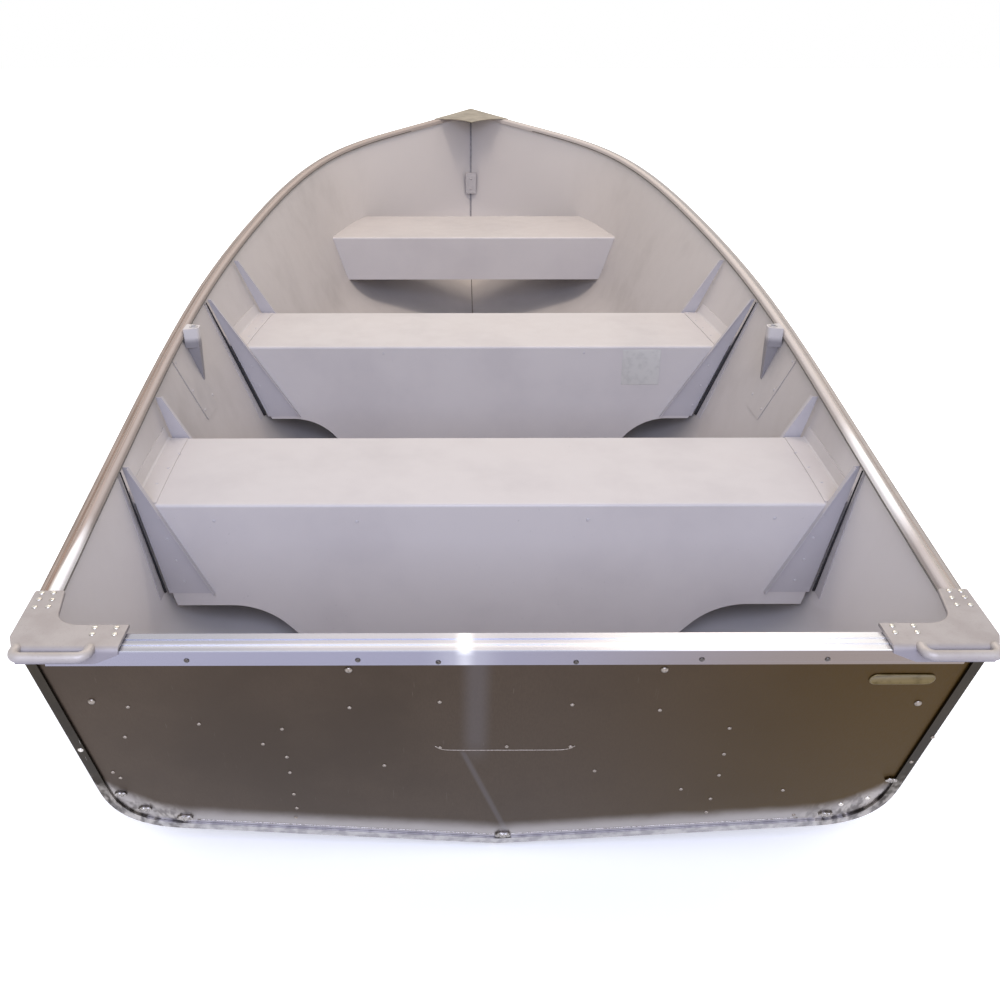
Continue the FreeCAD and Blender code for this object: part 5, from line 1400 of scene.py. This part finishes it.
@dataclass
class Studio:
    """A pale floor, a white world, soft lamps and the camera at the photograph's angle."""
    focal_px: float = 1005.34
    center_px: Range = (461.12, 498.07)
    frame_px: float = 1000.0
    sensor_mm: float = 36.0
    eye: tuple[float, float, float] = (-0.0623, -2.8999, 1.2523)
    pitch: float = 0.4769
    yaw: float = -0.0041
    far: float = 60.0
    floor_half: float = 14.0
    floor_oval: Range = (0.95, 2.05)
    floor_clear: Range = (0.95, 1.5)
    floor_shares: Range = (0.24, 1.0)
    floor_mirrored: float = 0.6
    floor_rough: float = 0.9
    soft_light: float = 0.74
    lamps: tuple[Lamp, ...] = (
        Lamp("ceiling", (0.2, 1.0, 3.4), (0.0, 0.2, 0.3), (3.2, 4.2), 40.0, "ffecda"),
        Lamp("tube_port", (-1.3, 0.2, 2.9), (0.0, 0.8, 0.3), (0.25, 1.2), 9.0, "fff1e4"),
        Lamp("tube_starboard", (0.7, 0.4, 3.0), (0.0, 0.8, 0.3), (0.25, 1.2), 18.0, "fff1e4"),
        Lamp("aft_fill", (-0.1, -4.4, 2.4), (0.0, -1.2, 0.3), (2.8, 2.2), 132.0, "d2dcff"),
    )

    def camera(self) -> None:
        """Set the camera: focal length in pixels over the frame's width gives the lens."""
        data = bpy.data.cameras.new("photo_camera")
        data.sensor_fit = "HORIZONTAL"
        data.sensor_width = self.sensor_mm
        data.lens = self.sensor_mm * self.focal_px / self.frame_px
        data.shift_x = (0.5 * self.frame_px - self.center_px[0]) / self.frame_px
        data.shift_y = (self.center_px[1] - 0.5 * self.frame_px) / self.frame_px
        data.clip_end = self.far
        camera = bpy.data.objects.new("photo_camera", data)
        camera.location = self.eye
        camera.rotation_euler = (0.5 * math.pi - self.pitch, 0.0, self.yaw)
        bpy.context.scene.collection.objects.link(camera)
        bpy.context.scene.camera = camera

    def floor(self) -> None:
        """A wide pale floor that keeps the boat's shadow and clears to white away from it.

        The clearing follows an oval about the boat: the root of (x over a)^2 plus (y over b)^2.
        """
        half = self.floor_half
        data = bpy.data.meshes.new("studio_floor")
        data.from_pydata([(-half, -half, 0.0), (half, -half, 0.0), (half, half, 0.0), (-half, half, 0.0)],
                         [], [(0, 1, 2, 3)])
        weave = Weave("studio_floor_paint")
        tone = weave.blend(weave.patch(900.0, 3.0, 0.3, 0.7), "fafafa", "f6f6f6")
        squares = [weave.math("POWER", weave.math("DIVIDE", value, size), 2.0)
                   for value, size in zip(weave.axis(), self.floor_oval)]
        oval = weave.math("SQRT", weave.total(*squares))
        path = weave.add("ShaderNodeLightPath").outputs
        direct = weave.product(weave.span(oval, *self.floor_clear, *self.floor_shares), path["Is Camera Ray"])
        mirrors = weave.math("MAXIMUM", path["Is Glossy Ray"], path["Is Transmission Ray"])
        glow = weave.total(direct, weave.product(mirrors, self.floor_mirrored))
        paint = weave.finish(tone, self.floor_rough, Emission_Color=linear("ffffff"), Emission_Strength=glow)
        data.materials.append(paint)
        piece = bpy.data.objects.new("studio_floor", data)
        bpy.context.scene.collection.objects.link(piece)

    def world(self) -> None:
        """White to the camera, to mirrors and through glass, and a plain pale light on the rest."""
        world = bpy.data.worlds.new("studio_world")
        world.use_nodes = True
        tree = world.node_tree
        tree.nodes.clear()
        path = add_node(tree, "ShaderNodeLightPath").outputs
        seen = path["Is Camera Ray"]
        for ray in ("Is Glossy Ray", "Is Transmission Ray"):
            rays = {0: seen, 1: path[ray]}
            seen = add_node(tree, "ShaderNodeMath", {"operation": "MAXIMUM"}, rays).outputs[0]
        soft, white = [
            add_node(tree, "ShaderNodeBackground", None, {"Color": linear(color), "Strength": power})
            for color, power in (("f4f3f3", self.soft_light), ("ffffff", 1.0))]
        both = add_node(tree, "ShaderNodeMixShader", None, {0: seen, 1: soft.outputs[0], 2: white.outputs[0]})
        add_node(tree, "ShaderNodeOutputWorld", None, {"Surface": both.outputs[0]})
        bpy.context.scene.world = world

    def build(self) -> None:
        """Set the stage."""
        bpy.context.scene.view_settings.view_transform = "Standard"
        self.camera()
        self.floor()
        self.world()
        for lamp in self.lamps:
            lamp.build()


def main() -> None:
    """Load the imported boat, dress it, add its small pieces and set the stage."""
    logging.basicConfig(level=logging.INFO, format="%(name)s: %(message)s")
    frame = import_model()
    nodes = sorted(frame["nodes"])

    def skin(*starts: str) -> Skin:
        """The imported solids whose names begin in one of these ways."""
        return Skin(frame, [name for name in nodes if name.startswith(starts)])

    works: list[Any] = [
        TransomWork(skin("transom_skin", "transom_cap", "transom_rim")),
        CornerWork(skin("corner_casting_")),
        SeatWork(skin("end_strip_"), skin("thwart_", "knee_"), skin("hull_starboard")),
        GunwaleWork(skin("gunwale_starboard")),
        BottomWork(skin("keel"), skin("strake_"), skin("hull_"), skin("stem_band")),
        OarlockWork(skin("oarlock_doubler_starboard")),
        BowWork(skin("bow_eye_backing"), skin("bow_plate"), skin("hull_starboard")),
    ]
    PackedSolids(frame).dress()
    for work in works:
        work.build()
    Studio().build()


if __name__ == "__main__":
    main()
